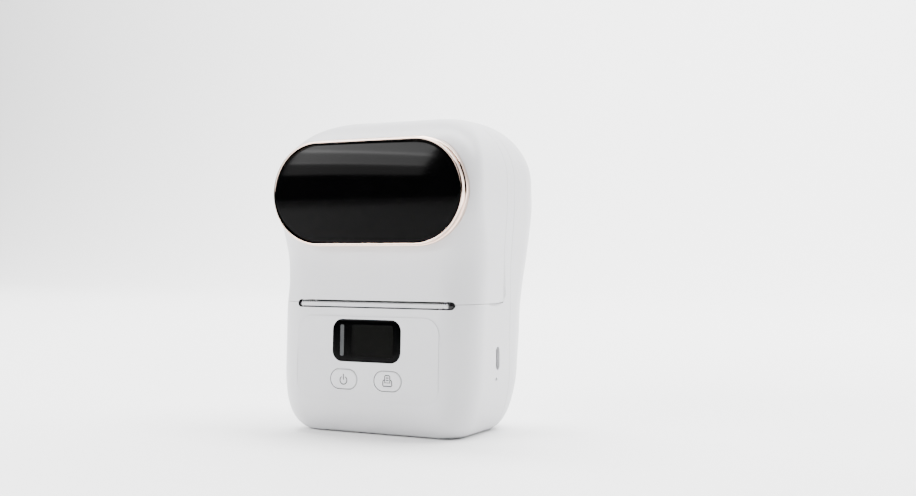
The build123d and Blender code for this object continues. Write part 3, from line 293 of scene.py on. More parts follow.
def stadium(width, height, per_end=24, per_side=20):
    """Points of a round-ended bar outline about the origin, anticlockwise."""
    radius = height / 2
    half = width / 2 - radius
    points = []
    for step in range(per_side):
        points.append((half - 2 * half * step / per_side, radius))
    for step in range(per_end):
        turn = math.pi / 2 + math.pi * step / per_end
        points.append((-half + radius * math.cos(turn), radius * math.sin(turn)))
    for step in range(per_side):
        points.append((-half + 2 * half * step / per_side, -radius))
    for step in range(per_end):
        turn = -math.pi / 2 + math.pi * step / per_end
        points.append((half + radius * math.cos(turn), radius * math.sin(turn)))
    return points


def rounded(width, height, radius, per_corner=8):
    """Points of a rounded rectangle about the origin, anticlockwise."""
    points = []
    for sx, sz, start in ((1, 1, 0), (-1, 1, 90), (-1, -1, 180), (1, -1, 270)):
        for step in range(per_corner + 1):
            turn = math.radians(start + 90 * step / per_corner)
            points.append((sx * (width / 2 - radius) + radius * math.cos(turn),
                           sz * (height / 2 - radius) + radius * math.sin(turn)))
    return points


def prism(name, outline, place, near, far, slot="white_plastic"):
    """A closed bar: an outline in a plane's own axes, from near to far along its normal."""
    bm = bmesh.new()
    rows = []
    for depth in (near, far):
        rows.append([bm.verts.new(place @ Vector((x, z, depth))) for x, z in outline])
    count = len(outline)
    for i in range(count):
        bm.faces.new((rows[0][i], rows[0][(i + 1) % count], rows[1][(i + 1) % count], rows[1][i]))
    bm.faces.new(list(reversed(rows[0])))
    bm.faces.new(rows[1])
    bmesh.ops.recalc_face_normals(bm, faces=bm.faces)
    return new_object(name, bm, slot, smooth=False)


def band(name, points, width, place, low, high, slot, closed=False):
    """A flat band that follows points in a plane's own axes, from low to high along its normal."""
    bm = bmesh.new()
    count = len(points)
    rows = []
    for i, (x, z) in enumerate(points):
        before = points[i - 1] if i or closed else points[i]
        after = points[(i + 1) % count] if i < count - 1 or closed else points[i]
        along = Vector((after[0] - before[0], after[1] - before[1])).normalized()
        side = Vector((-along.y, along.x)) * (width / 2)
        left = (x + side.x, z + side.y)
        right = (x - side.x, z - side.y)
        rows.append([bm.verts.new(place @ Vector((*edge, depth)))
                     for edge, depth in ((left, low), (left, high), (right, high), (right, low))])
    pairs = list(zip(rows, rows[1:]))
    if closed:
        pairs.append((rows[-1], rows[0]))
    for first, second in pairs:
        for i in range(4):
            bm.faces.new((first[i], first[(i + 1) % 4], second[(i + 1) % 4], second[i]))
    if not closed:
        bm.faces.new(list(reversed(rows[0])))
        bm.faces.new(rows[-1])
    bmesh.ops.recalc_face_normals(bm, faces=bm.faces)
    return new_object(name, bm, slot, smooth=False)


def facing(x, y, z, lean=0.0):
    """A plane on the front: its first axis is +X, its second up, its normal out towards -Y."""
    out = Vector((0, -math.cos(lean), math.sin(lean)))
    up = Vector((0, math.sin(lean), math.cos(lean)))
    side = Vector((1, 0, 0))
    return Matrix(((side.x, up.x, out.x, x), (side.y, up.y, out.y, y), (side.z, up.z, out.z, z),
                   (0, 0, 0, 1)))


def sideways(x, y, z):
    """A plane on the right side: first axis +Y, second up, normal +X."""
    return Matrix(((0, 0, 1, x), (1, 0, 0, y), (0, 1, 0, z), (0, 0, 0, 1)))


# ---------------------------------------------------------------- body form
def spline(values, z):
    """A smooth curve through (z, value) pairs."""
    last = len(values) - 1
    spot = 0
    while spot < last - 1 and z > values[spot + 1][0]:
        spot += 1
    z0, v0 = values[spot]
    z1, v1 = values[spot + 1]
    before = values[max(spot - 1, 0)]
    after = values[min(spot + 2, last)]
    slope0 = (v1 - before[1]) / (z1 - before[0])
    slope1 = (after[1] - v0) / (after[0] - z0)
    if spot == 0 or spot == last - 1:
        end = (v1 - v0) / (z1 - z0)
        slope0 = 0.0 if spot == 0 else slope0
        slope1 = 0.0 if spot == last - 1 else slope1
        slope0 = end if spot == 0 and abs(end) < abs(slope0) else slope0
    t = (z - z0) / (z1 - z0)
    span = z1 - z0
    return ((2 * t ** 3 - 3 * t ** 2 + 1) * v0 + (t ** 3 - 2 * t ** 2 + t) * span * slope0
            + (-2 * t ** 3 + 3 * t ** 2) * v1 + (t ** 3 - t ** 2) * span * slope1)


def roll_in(z, inset, rise):
    """How far a quarter-ellipse rounding has drawn in at a height below its rise."""
    return inset * (1 - math.sqrt(1 - (min(max(rise - z, 0.0), rise) / rise) ** 2))


def station(z):
    """Half width, front, rear and the two corner radii of the body at a height."""
    level = min(max(z, STATIONS[0][0]), CROWN_Z)
    half, front, rear, front_radius, rear_radius = [
        spline([(row[0], row[i]) for row in STATIONS], level) for i in range(1, 6)]
    side = roll_in(z, *BASE_SIDE)
    tuck = roll_in(z, *BASE_FRONT)
    share = 0.0
    if z > CROWN_Z:
        share = 1 - math.sqrt(max(1 - ((z - CROWN_Z) / CROWN_RISE) ** 2, 0.0))
    return (half - side - CROWN_INSETS[0] * share, front + tuck + CROWN_INSETS[1] * share,
            rear - side - CROWN_INSETS[2] * share,
            front_radius - 0.6 * max(side, tuck) - CROWN_CORNER_LOSS[0] * share,
            rear_radius - 0.6 * side - CROWN_CORNER_LOSS[1] * share)


def front_y(x, z):
    """The front surface of the body at a place across and up."""
    half, front, rear, radius, rear_radius = station(z)
    over = max(abs(x) - (half - radius), 0.0)
    return front + radius - math.sqrt(radius ** 2 - over ** 2)


def section(z, shrink=1.0, straight=22, corner=14):
    """The body outline at a height: (x, y) points from the middle of the front, anticlockwise from above."""
    half, front, rear, front_radius, rear_radius = station(z)
    middle = (front + rear) / 2
    points = []
    corners = [(1, front, front_radius, -90), (1, rear, rear_radius, 0),
               (-1, rear, rear_radius, 90), (-1, front, front_radius, 180)]
    centres = []
    for side, edge, radius, start in corners:
        inward = radius if edge < middle else -radius
        centres.append((side * (half - radius), edge + inward, radius, start))
    for index, (cx, cy, radius, start) in enumerate(centres):
        for step in range(corner + 1):
            turn = math.radians(start + 90 * step / corner)
            points.append((cx + radius * math.cos(turn), cy + radius * math.sin(turn)))
        nx, ny, next_radius, next_start = centres[(index + 1) % 4]
        here = points[-1]
        turn = math.radians(next_start)
        there = (nx + next_radius * math.cos(turn), ny + next_radius * math.sin(turn))
        for step in range(1, straight):
            t = step / straight
            points.append((here[0] + (there[0] - here[0]) * t, here[1] + (there[1] - here[1]) * t))
    return [(x * shrink, middle + (y - middle) * shrink) for x, y in points]


def levels():
    """Heights of the mesh rows: close over the round base and crown, even between."""
    rise = BASE_SIDE[1]
    rows = []
    for step in range(25):
        rows.append(rise * (1 - math.cos(math.pi / 2 * step / 24)))
    count = 62
    for step in range(1, count + 1):
        rows.append(rise + (CROWN_Z - rise) * step / count)
    for step in range(1, 25):
        rows.append(CROWN_Z + CROWN_RISE * math.sin(math.pi / 2 * step / 24))
    return rows


def body_surface():
    """The closed outer surface of the printer."""
    bm = bmesh.new()
    rings = []
    for shrink in (0.25, 0.5, 0.75):
        rings.append([bm.verts.new((x, y, 0.0)) for x, y in section(0.0, shrink)])
    for z in levels():
        rings.append([bm.verts.new((x, y, z)) for x, y in section(z)])
    for shrink in (0.75, 0.5, 0.25):
        rings.append([bm.verts.new((x, y, HEIGHT)) for x, y in section(HEIGHT, shrink)])
    count = len(rings[0])
    for lower, upper in zip(rings, rings[1:]):
        for i in range(count):
            bm.faces.new((lower[i], lower[(i + 1) % count], upper[(i + 1) % count], upper[i]))
    bm.faces.new(list(reversed(rings[0])))
    bm.faces.new(rings[-1])
    bmesh.ops.recalc_face_normals(bm, faces=bm.faces)
    return bm


def clip(bm, point, normal):
    """Keeps the side of a plane that its normal points away from."""
    geometry = bm.verts[:] + bm.edges[:] + bm.faces[:]
    bmesh.ops.bisect_plane(bm, geom=geometry, dist=1e-5, plane_co=point, plane_no=normal, clear_outer=True)


def drop(bm, keep):
    """Removes the faces whose middle the test refuses."""
    gone = [face for face in bm.faces if not keep(face.calc_center_median())]
    bmesh.ops.delete(bm, geom=gone, context="FACES")


def split_at(bm, point, normal):
    """Cuts the mesh along a plane and keeps both sides."""
    geometry = bm.verts[:] + bm.edges[:] + bm.faces[:]
    bmesh.ops.bisect_plane(bm, geom=geometry, dist=1e-5, plane_co=point, plane_no=normal)


def thicken(obj):
    """Gives an open skin its wall."""
    wall = obj.modifiers.new("wall", "SOLIDIFY")
    wall.thickness = WALL * MM
    wall.offset = -1.0
    wall.use_even_offset = True
    wall.use_rim = True
    return bake(obj)


def slot_tool(name, size, place, near, far, slot="white_plastic"):
    return prism(name, stadium(size[0], size[1]), place, near, far, slot)


def build_rear_cover():
    bm = body_surface()
    clip(bm, (0, REAR_SEAM_Y + SEAM_GAP / 2, 0), (0, -1, 0))
    obj = new_object("rear_cover_skin", bm, "white_plastic")
    thicken(obj)
    tools = []
    for x, z in REAR_SCREWS:
        tools.append(slot_tool("recess", (3.4, 3.399), facing(x, 45.0, z), -1.0, 7.1))
        tools.append(slot_tool("pilot", (1.9, 1.899), facing(x, 45.0, z), -1.0, 14.0))
    carve(obj, tools)
    soften(obj, 0.25)
    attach(obj, "base")
    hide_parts("rear_cover")
    return obj


def hinge_relief():
    """The turned room that the lid's rear edge sweeps under the strip."""
    reach = LID_SEAM_Y - SEAM_GAP / 2 - HINGE_Y
    flat = STATIONS[-1][1] - CROWN_INSETS[0]
    profile = [(-45.0, 0.0)]
    for step in range(-24, 25):
        x = 45.0 * step / 24
        over = max(abs(x) - flat, 0.0)
        top = CROWN_Z + CROWN_RISE * math.sqrt(max(1 - (over / CROWN_INSETS[0]) ** 2, 0.0))
        profile.append((x, math.hypot(reach, max(top - HINGE_Z, 0.0)) + HINGE_CLEARANCE))
    profile.append((45.0, 0.0))
    bm = bmesh.new()
    turns = 96
    rings = []
    for x, radius in profile[1:-1]:
        rings.append([bm.verts.new((x, HINGE_Y + radius * math.cos(math.tau * k / turns),
                                    HINGE_Z + radius * math.sin(math.tau * k / turns)))
                       for k in range(turns)])
    for first, second in zip(rings, rings[1:]):
        for k in range(turns):
            bm.faces.new((first[k], first[(k + 1) % turns], second[(k + 1) % turns], second[k]))
    bm.faces.new(rings[0])
    bm.faces.new(list(reversed(rings[-1])))
    bmesh.ops.recalc_face_normals(bm, faces=bm.faces)
    return new_object("relief", bm, "white_plastic")


def scallop(side):
    """The shallow finger hollow under the lid's edge, in front of the seam."""
    bm = bmesh.new()
    bmesh.ops.create_uvsphere(bm, u_segments=180, v_segments=120, radius=SCALLOP_RADIUS)
    x, y, z = SCALLOP_PLACE
    bmesh.ops.translate(bm, verts=bm.verts, vec=(side * x, y, z))
    clip(bm, (0, LID_SEAM_Y + SEAM_GAP / 2, 0), (0, 1, 0))
    bmesh.ops.holes_fill(bm, edges=[edge for edge in bm.edges if edge.is_boundary], sides=0)
    clip(bm, (0, 0, LID_EDGE_Z), (0, 0, 1))
    bmesh.ops.holes_fill(bm, edges=[edge for edge in bm.edges if edge.is_boundary], sides=0)
    bmesh.ops.recalc_face_normals(bm, faces=bm.faces)
    return new_object("scallop", bm, "white_plastic")


def groove(side):
    """The tapered groove behind the seam, a turned tool with a round lower end."""
    bottom, top = GROOVE_RADII
    profile = []
    for step in range(1, 19):
        turn = math.pi / 2 * (step / 18 - 1)
        profile.append((bottom * math.cos(turn), GROOVE_Z[0] + bottom * math.sin(turn)))
    for step in range(1, 9):
        share = step / 8
        profile.append((bottom + (top - bottom) * share, GROOVE_Z[0] + (GROOVE_Z[1] - GROOVE_Z[0]) * share))
    bm = bmesh.new()
    turns = 180
    rings = []
    for radius, z in profile:
        rings.append([bm.verts.new((side * GROOVE_X + radius * math.cos(math.tau * k / turns),
                                    LID_SEAM_Y + radius * math.sin(math.tau * k / turns), z))
                       for k in range(turns)])
    for first, second in zip(rings, rings[1:]):
        for k in range(turns):
            bm.faces.new((first[k], first[(k + 1) % turns], second[(k + 1) % turns], second[k]))
    bm.faces.new(list(reversed(rings[0])))
    bm.faces.new(rings[-1])
    bmesh.ops.recalc_face_normals(bm, faces=bm.faces)
    return new_object("groove", bm, "white_plastic")


def facet_plane():
    return facing(0, FACET_FRONT_Y, DISPLAY_Z, FACET_LEAN)


def facet_groove():
    """A fine groove round the sides and top of the flat area; its walls take a grey painted shade."""
    half = FACET_HALF_WIDTH
    top = FACET_TOP_Z - DISPLAY_Z
    corner = 6.7
    path = [(half, -20.5 + 2.0 * step) for step in range(12)]
    for start, sx in ((0, 1), (90, -1)):
        for step in range(13):
            turn = math.radians(start + 90 * step / 12)
            path.append((sx * (half - corner) + corner * math.cos(turn),
                         top - corner + corner * math.sin(turn)))
    path += [(-half, -20.5 + 2.0 * step) for step in reversed(range(12))]
    return band("facet_line", path, 0.22, facet_plane(), -0.12, 1.5, "painted_line_shade")


def build_front_housing():
    bm = body_surface()
    clip(bm, (0, REAR_SEAM_Y - SEAM_GAP / 2, 0), (0, 1, 0))
    split_at(bm, (0, LID_SEAM_Y + SEAM_GAP / 2, 0), (0, 1, 0))
    split_at(bm, (0, 0, LID_EDGE_Z - SEAM_GAP / 2), (0, 0, 1))
    lid_y = LID_SEAM_Y + SEAM_GAP / 2
    edge_z = LID_EDGE_Z - SEAM_GAP / 2
    drop(bm, lambda c: c.y > lid_y or c.z < edge_z)
    obj = new_object("front_housing_skin", bm, "white_plastic")
    thicken(obj)
    low, high = -24.0, FACET_TOP_Z - DISPLAY_Z
    outline = [(x, z + (low + high) / 2) for x, z in rounded(2 * FACET_HALF_WIDTH, high - low, 6.7, 12)]
    facet = prism("facet", outline, facet_plane(), -2.6, 0.0)
    carve(obj, [facet], "UNION")
    window = rounded(DISPLAY_SIZE[0] + 0.3, DISPLAY_SIZE[1] + 0.3, DISPLAY_SIZE[2] + 0.15, 12)
    tools = [prism("window", window, facet_plane(), -6.0, 3.0, "black_gloss")]
    for side in (-1, 1):
        place = facing(side * BUTTON_X, -32.0, BUTTON_Z)
        # the key-hole tool lays painted shade on the hole's walls
        tools.append(slot_tool("key_hole", (BUTTON_SIZE[0] + 0.4, BUTTON_SIZE[1] + 0.4), place, -4.0, 8.0,
                               "painted_seam_shade"))
        tools.append(groove(side))
        tools.append(scallop(side))
    middle = (SLOT_X[0] + SLOT_X[1]) / 2
    # the slot tool lays painted shadow on the slot's walls
    tools.append(slot_tool("slot", (SLOT_X[1] - SLOT_X[0], SLOT_Z[1] - SLOT_Z[0]),
                           facing(middle, -35.0, (SLOT_Z[0] + SLOT_Z[1]) / 2), -5.0, 5.0, "tear_shadow"))
    turned = [(z, y) for y, z in stadium(*USB_OPENING)]
    tools.append(prism("inlet", turned, sideways(40.0, USB_Y, USB_Z), -4.0, 8.0))
    tools.append(prism("reset_hole", stadium(1.5, 1.499), sideways(40.0, RESET_Y, RESET_Z), -4.0, 8.0))
    tools.append(hinge_relief())
    tools.append(facet_groove())
    carve(obj, tools)
    soften(obj, 0.12)
    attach(obj, "base")
    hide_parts("front_housing")
    return obj


def swing_room():
    """The sliver off the lid's lower edge behind the hinge line, so that it clears the body as it swings."""
    reach = HINGE_Z - LID_EDGE_Z - SEAM_GAP / 2
    outline = [(0.0, LID_EDGE_Z - 1.0), (HINGE_Y, LID_EDGE_Z - 1.0)]
    for step in range(13):
        y = (0.0 - HINGE_Y) * step / 12
        outline.append((HINGE_Y + y, HINGE_Z - math.sqrt(reach ** 2 - y ** 2)))
    return prism("swing_room", outline, sideways(0, 0, 0), -60.0, 60.0)


def build_lid():
    bm = body_surface()
    clip(bm, (0, LID_SEAM_Y - SEAM_GAP / 2, 0), (0, 1, 0))
    clip(bm, (0, 0, LID_EDGE_Z + SEAM_GAP / 2), (0, 0, -1))
    obj = new_object("lid_skin", bm, "white_plastic")
    thicken(obj)
    middle = (SLOT_X[0] + SLOT_X[1]) / 2
    # the slot tool lays painted shadow on the slot's walls
    tools = [slot_tool("slot", (SLOT_X[1] - SLOT_X[0], SLOT_Z[1] - SLOT_Z[0]),
                       facing(middle, -35.0, (SLOT_Z[0] + SLOT_Z[1]) / 2), -5.0, 5.0, "tear_shadow")]
    tools.append(prism("face_hole", stadium(RING_SIZE[0] + 0.1, RING_SIZE[1] + 0.1, 48, 30),
                       facing(0, 0, FACE_Z), -RING_BACK_Y, 50.0))
    tools.append(swing_room())
    carve(obj, tools)
    soften(obj, 0.12)
    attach(obj, "lid")
    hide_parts("lid_cover")
    return obj


def build_knuckles():
    """The two hinge eyes under the lid's crown."""
    for side in (-1, 1):
        outline = [(-3.0, 4.2), (-3.0, 0.0)]
        for step in range(1, 12):
            turn = math.pi + math.pi * step / 12
            outline.append((3.0 * math.cos(turn), 3.0 * math.sin(turn)))
        outline += [(3.0, 0.0), (3.0, 4.2)]
        near, far = sorted((side * 14.6, side * 18.6))
        eye = prism("hinge_eye_" + ("right" if side > 0 else "left"), outline,
                    sideways(0, HINGE_Y, HINGE_Z), near, far)
        bore = prism("bore", stadium(3.12, 3.119), sideways(0, HINGE_Y, HINGE_Z), near - 1, far + 1)
        carve(eye, [bore])
        soften(eye, 0.2)
        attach(eye, "lid")


# ---------------------------------------------------------------- face panel and ring
def build_ring():
    """The polished band: a small rounded profile carried round the pill outline."""
    lip = -RING_STEP
    profile = [(-RING_WALL, RING_BACK_Y), (-RING_WALL, RING_FRONT_Y + 0.4),
               (-RING_WALL + 0.06, RING_FRONT_Y + 0.16),
               (-RING_WALL + 0.2, RING_FRONT_Y + 0.03), (lip - 0.42, RING_FRONT_Y),
               (lip - 0.2, RING_FRONT_Y + 0.05),
               (lip - 0.06, RING_FRONT_Y + 0.18), (lip, RING_FRONT_Y + 0.42), (lip, RING_FOOT_Y - 0.1),
               (lip + 0.05, RING_FOOT_Y), (-0.16, RING_FOOT_Y + 0.02), (-0.04, RING_FOOT_Y + 0.12),
               (0.0, RING_FOOT_Y + 0.3), (0.0, RING_BACK_Y)]
    bm = bmesh.new()
    rings = []
    for grow, y in profile:
        outline = stadium(RING_SIZE[0] + 2 * grow, RING_SIZE[1] + 2 * grow, 64, 40)
        rings.append([bm.verts.new((x, y, FACE_Z + z)) for x, z in outline])
    count = len(rings[0])
    for index in range(len(rings)):
        first = rings[index]
        second = rings[(index + 1) % len(rings)]
        for i in range(count):
            bm.faces.new((first[i], first[(i + 1) % count], second[(i + 1) % count], second[i]))
    bmesh.ops.recalc_face_normals(bm, faces=bm.faces)
    obj = new_object("trim_ring_band", bm, "rose_gold")
    soften(obj, 0.08, 2, 30.0)
    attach(obj, "lid")
    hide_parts("trim_ring")


def face_y(x, z):
    """Front of the domed face panel."""
    ring_radius = FACE_CURVE_LEVEL - FACE_CURVE_UPRIGHT
    upright = math.sqrt(FACE_CURVE_UPRIGHT ** 2 - z * z)
    reach = ring_radius + upright
    return FACE_FRONT_Y + FACE_CURVE_LEVEL - math.sqrt(reach * reach - x * x)


def build_face():
    bm = bmesh.new()
    rings = []
    width = RING_SIZE[0] - 2 * RING_WALL - 0.2
    height = RING_SIZE[1] - 2 * RING_WALL - 0.2
    steps = 26
    back = [bm.verts.new((x, RING_FRONT_Y + 2.4, FACE_Z + z)) for x, z in stadium(width, height, 64, 40)]
    rings.append(back)
    for inset, depth in ((0.0, 0.5), (0.05, 0.24), (0.18, 0.07), (0.4, 0.0)):
        outline = stadium(width - 2 * inset, height - 2 * inset, 64, 40)
        rings.append([bm.verts.new((x, face_y(x, z) + depth, FACE_Z + z)) for x, z in outline])
    for step in range(1, steps):
        inset = 0.4 + (height / 2 - 0.42) * step / (steps - 1)
        outline = stadium(width - 2 * inset, height - 2 * inset, 64, 40)
        rings.append([bm.verts.new((x, face_y(x, z), FACE_Z + z)) for x, z in outline])
    count = len(back)
    for first, second in zip(rings, rings[1:]):
        for i in range(count):
            bm.faces.new((first[i], first[(i + 1) % count], second[(i + 1) % count], second[i]))
    bm.faces.new(rings[-1])
    bm.faces.new(list(reversed(rings[0])))
    bmesh.ops.recalc_face_normals(bm, faces=bm.faces)
    obj = new_object("face_panel_dome", bm, "black_gloss")
    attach(obj, "lid")
    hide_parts("face_panel")


# ---------------------------------------------------------------- display
def build_display():
    outline_size = DISPLAY_SIZE
    bm = bmesh.new()
    place = facet_plane()
    rings = []
    for inset, depth in ((0.0, -1.5), (0.0, -0.42), (0.06, -0.24), (0.22, -0.14), (0.5, -0.1), (2.0, -0.1),
                         (4.0, -0.1)):
        outline = rounded(outline_size[0] - 2 * inset, outline_size[1] - 2 * inset,
                          max(outline_size[2] - inset, 0.4), 12)
        rings.append([bm.verts.new(place @ Vector((x, z, depth))) for x, z in outline])
    count = len(rings[0])
    for first, second in zip(rings, rings[1:]):
        for i in range(count):
            bm.faces.new((first[i], first[(i + 1) % count], second[(i + 1) % count], second[i]))
    bm.faces.new(rings[-1])
    bm.faces.new(list(reversed(rings[0])))
    bmesh.ops.recalc_face_normals(bm, faces=bm.faces)
    obj = new_object("display_window_pane", bm, "black_gloss")
    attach(obj, "base")
    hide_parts("display_window")
    width, height = SCREEN_SIZE
    outline = [(x + SCREEN_SHIFT, z) for x, z in rounded(width, height, 0.9, 8)]
    screen = prism("display_active_area", outline, place, -0.12, -0.085, "screen_grey")
    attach(screen, "base")
    # a lighter strip at the screen's left: a painted highlight for the reflection on the glass's bevel
    edge = [(x - 11.3, z) for x, z in rounded(1.7, 12.4, 0.5, 6)]
    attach(prism("display_painted_highlight", edge, place, -0.12, -0.085, "painted_glass_highlight"), "base")


# ---------------------------------------------------------------- keys
def build_key(name, node, side, body):
    bm = bmesh.new()
    rings = []
    for inset, y in ((0.9 * -1, -31.5), (0.9 * -1, -32.3), (0.0, -32.3), (0.0, BUTTON_FRONT_Y + 0.6),
                     (0.05, BUTTON_FRONT_Y + 0.36), (0.2, BUTTON_FRONT_Y + 0.14),
                     (0.45, BUTTON_FRONT_Y + 0.03),
                     (0.8, BUTTON_FRONT_Y), (1.8, BUTTON_FRONT_Y), (3.0, BUTTON_FRONT_Y)):
        outline = stadium(BUTTON_SIZE[0] - 2 * inset, BUTTON_SIZE[1] - 2 * inset, 32, 8)
        rings.append([bm.verts.new((side * BUTTON_X + x, y, BUTTON_Z + z)) for x, z in outline])
    count = len(rings[0])
    for first, second in zip(rings, rings[1:]):
        for i in range(count):
            bm.faces.new((first[i], first[(i + 1) % count], second[(i + 1) % count], second[i]))
    bm.faces.new(rings[-1])
    bm.faces.new(list(reversed(rings[0])))
    bmesh.ops.recalc_face_normals(bm, faces=bm.faces)
    obj = new_object(name, bm, "button_plastic")
    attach(obj, body)
    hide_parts(node)
    return obj


def mark(name, points, place, body, closed=False):
    """One printed line on a key."""
    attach(band(name, points, ICON_LINE, place, -0.02, ICON_RISE, "icon_ink", closed), body)


def build_icons():
    """The generic power mark and paper-feed mark printed on the two keys."""
    place = facing(-BUTTON_X, BUTTON_FRONT_Y, BUTTON_Z)
    ring = []
    for step in range(41):
        turn = math.radians(122 + 296 * step / 40)
        ring.append((1.6 * math.cos(turn), -0.45 + 1.6 * math.sin(turn)))
    mark("power_mark_ring", ring, place, "power_key")
    mark("power_mark_bar", [(0.0, -0.25), (0.0, 2.1)], place, "power_key")
    place = facing(BUTTON_X, BUTTON_FRONT_Y, BUTTON_Z)
    tray = [(-1.15, 0.55), (-1.65, 0.45), (-1.95, 0.1), (-2.05, -1.45), (-1.75, -1.9), (1.75, -1.9),
            (2.05, -1.45),
            (1.95, 0.1), (1.65, 0.45), (1.15, 0.55)]
    mark("feed_mark_tray", tray, place, "feed_key")
    sheet = [(-1.15, -0.55), (-1.15, 1.95), (-0.85, 2.3), (0.85, 2.3), (1.15, 1.95), (1.15, -0.55)]
    mark("feed_mark_sheet", sheet, place, "feed_key", closed=True)
    mark("feed_mark_line_upper", [(-0.6, 1.35), (0.6, 1.35)], place, "feed_key")
    mark("feed_mark_line_lower", [(-0.6, 0.45), (0.6, 0.45)], place, "feed_key")


# ---------------------------------------------------------------- tear bar
def strip(name, rows, slot):
    """A bar skinned through four-cornered rows."""
    bm = bmesh.new()
    rings = [[bm.verts.new(point) for point in row] for row in rows]
    for first, second in zip(rings, rings[1:]):
        for i in range(4):
            bm.faces.new((first[i], first[(i + 1) % 4], second[(i + 1) % 4], second[i]))
    bm.faces.new(list(reversed(rings[0])))
    bm.faces.new(rings[-1])
    bmesh.ops.recalc_face_normals(bm, faces=bm.faces)
    obj = new_object(name, bm, slot, smooth=False)
    soften(obj, 0.04, 2, 30.0)
    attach(obj, "base")
    return obj


def build_tear_bar():
    """A curved strip behind the front surface with fine teeth along its upper edge."""
    left, right = TEAR_X
    low, root, tip = TEAR_Z
    pitch = (right - left) / TEAR_TEETH
    columns = [(left, root)]
    for tooth in range(TEAR_TEETH):
        middle = left + (tooth + 0.5) * pitch
        columns += [(middle, tip), (middle + pitch / 2, root)]
    rows = []
    for x, top in columns:
        near = front_y(x, low) + TEAR_RECESS
        far = near + TEAR_THICKNESS
        rows.append([(x, near, low), (x, near, top), (x, far, top), (x, far, low)])
    blade = strip("tear_bar_blade", rows, "tear_plastic")
    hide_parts("tear_bar")
    # the wings, the floor strip and the flange are coloured near-black as painted shadow in the slot
    for side, start, end in (("left", TEAR_WINGS_X[0], left), ("right", right, TEAR_WINGS_X[1])):
        rows = []
        for step in range(9):
            x = start + (end - start) * step / 8
            near = front_y(x, low) + TEAR_RECESS + 0.05
            far = near + 0.8
            rows.append([(x, near, low), (x, near, TEAR_WINGS_Z), (x, far, TEAR_WINGS_Z), (x, far, low)])
        strip("tear_bar_wing_" + side, rows, "tear_shadow")
    near, far = TEAR_FLOOR_Y
    bottom, top = SLOT_Z[0] + 0.02, low - 0.01
    floor = [(TEAR_FLOOR_X, near, bottom), (TEAR_FLOOR_X, near, top), (TEAR_FLOOR_X, far, top),
             (TEAR_FLOOR_X, far, bottom)]
    strip("tear_bar_floor", [[(left + 0.4, y, z) for x, y, z in floor], floor], "tear_shadow")
    near, far = TEAR_FLANGE_Y
    bottom, top = TEAR_FLANGE_LOW_Z, SLOT_Z[0] + 0.01
    flange = [(TEAR_FLANGE_X, near, bottom), (TEAR_FLANGE_X, near, top), (TEAR_FLANGE_X, far, top),
              (TEAR_FLANGE_X, far, bottom)]
    strip("tear_bar_flange", [[(-x, y, z) for x, y, z in flange], flange], "tear_shadow")


build_rear_cover()
build_front_housing()
build_lid()
build_knuckles()
build_ring()
build_face()
build_display()
build_key("power_key_cap", "power_button", -1, "power_key")
build_key("feed_key_cap", "feed_button", 1, "feed_key")
build_icons()
build_tear_bar()

# ---------------------------------------------------------------- carried-over CAD nodes
SLOT_OF = {row["node"]: row["material_slot"] for row in frame["record"]["subparts"]}
for node, obj in frame["nodes"].items():
    slot = SLOT_OF[node]
    obj.data.materials.clear()
    obj.data.materials.append(MATERIALS[slot])


# ---------------------------------------------------------------- studio
def studio():
    """A plain pale floor that curves up into a wall well behind the object."""
    bm = bmesh.new()
    profile = [(-3.0, 0.0), (1.3, 0.0)]
    for step in range(1, 17):
        turn = math.pi / 2 * step / 16
        profile.append((1.3 + 0.8 * math.sin(turn), 0.8 - 0.8 * math.cos(turn)))
    profile.append((2.1, 3.2))
    rows = []
    for y, z in profile:
        rows.append([bm.verts.new((x, y, z - 0.0002)) for x in (-4.5, 4.5)])
    for first, second in zip(rows, rows[1:]):
        bm.faces.new((first[0], first[1], second[1], second[0]))
    mesh = bpy.data.meshes.new("studio_floor")
    bm.to_mesh(mesh)
    bm.free()
    for poly in mesh.polygons:
        poly.use_smooth = True
    floor = bpy.data.objects.new("studio_floor", mesh)
    floor.data.materials.append(material("studio_floor", (0.93, 0.93, 0.93), 0.6, drift=0.004, bump=0.02))
    bpy.context.scene.collection.objects.link(floor)


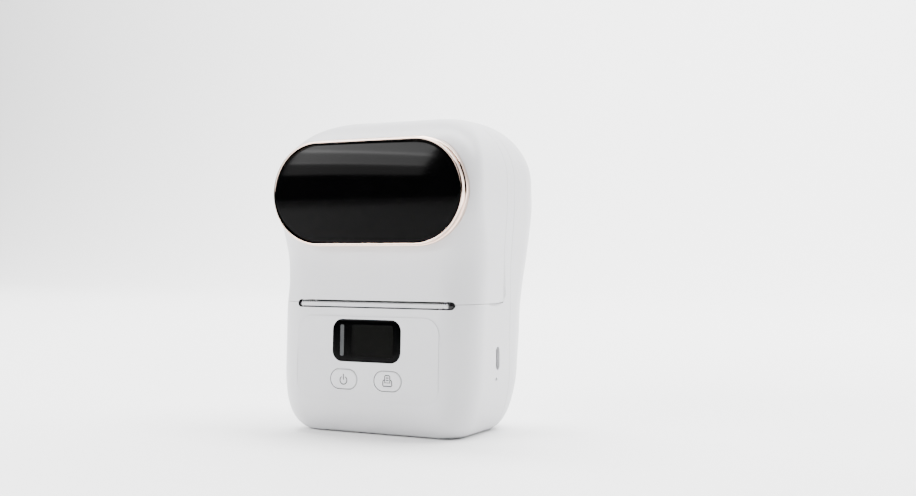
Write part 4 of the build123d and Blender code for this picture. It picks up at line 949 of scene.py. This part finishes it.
def soft_light(name, place, target, size, watts, mirrored=True):
    """An area light aimed at a point; mirrored says whether gloss shows it."""
    data = bpy.data.lights.new(name, "AREA")
    data.shape = "RECTANGLE"
    data.size, data.size_y = size
    data.energy = watts
    lamp = bpy.data.objects.new(name, data)
    lamp.location = place
    aim = Vector(target) - Vector(place)
    lamp.rotation_euler = aim.to_track_quat("-Z", "Y").to_euler()
    lamp.visible_glossy = mirrored
    bpy.context.scene.collection.objects.link(lamp)


def world():
    """Even light all round, brighter behind the object, and unseen by glossy surfaces."""
    scene_world = bpy.data.worlds.new("studio_world")
    scene_world.use_nodes = True
    nodes = scene_world.node_tree.nodes
    links = scene_world.node_tree.links
    ground = nodes["Background"]
    ground.inputs["Color"].default_value = (0.985, 0.99, 1.0, 1)
    place = nodes.new("ShaderNodeTexCoord")
    toward = nodes.new("ShaderNodeVectorMath")
    toward.operation = "DOT_PRODUCT"
    toward.inputs[1].default_value = (0, 1, 0)
    links.new(place.outputs["Generated"], toward.inputs[0])
    strength = nodes.new("ShaderNodeMapRange")
    strength.interpolation_type = "SMOOTHSTEP"
    strength.inputs["From Min"].default_value = -0.1
    strength.inputs["From Max"].default_value = 0.6
    strength.inputs["To Min"].default_value = 0.40
    strength.inputs["To Max"].default_value = 5.0
    links.new(toward.outputs["Value"], strength.inputs["Value"])
    links.new(strength.outputs["Result"], ground.inputs["Strength"])
    scene_world.cycles_visibility.glossy = False
    bpy.context.scene.world = scene_world


def camera():
    data = bpy.data.cameras.new("camera")
    data.sensor_width = 36.0
    data.lens = CAMERA_LENS
    cam = bpy.data.objects.new("camera", data)
    cam.location = CAMERA_PLACE
    ahead = Vector((-math.sin(CAMERA_YAW), math.cos(CAMERA_YAW), CAMERA_RISE))
    cam.rotation_euler = ahead.to_track_quat("-Z", "Y").to_euler()
    bpy.context.scene.collection.objects.link(cam)
    bpy.context.scene.camera = cam


studio()
world()
for name, height, depth, watts in FRONT_BOXES:
    soft_light(name, (*FRONT_BOX_PLACE, height), (0, -0.03, 0.1), (FRONT_BOX_WIDTH, depth), watts)
soft_light("key_left", (-0.95, -0.45, 0.35), (0, 0, 0.06), (0.5, 0.7), 4.0, mirrored=False)
soft_light("right_side", (0.75, 0.65, 0.40), (0, 0, 0.06), (0.5, 0.6), 6.0, mirrored=False)
soft_light("backdrop", (0.0, 0.5, 2.2), (0, 2.0, 0.7), (3.4, 1.2), 300.0)
camera()
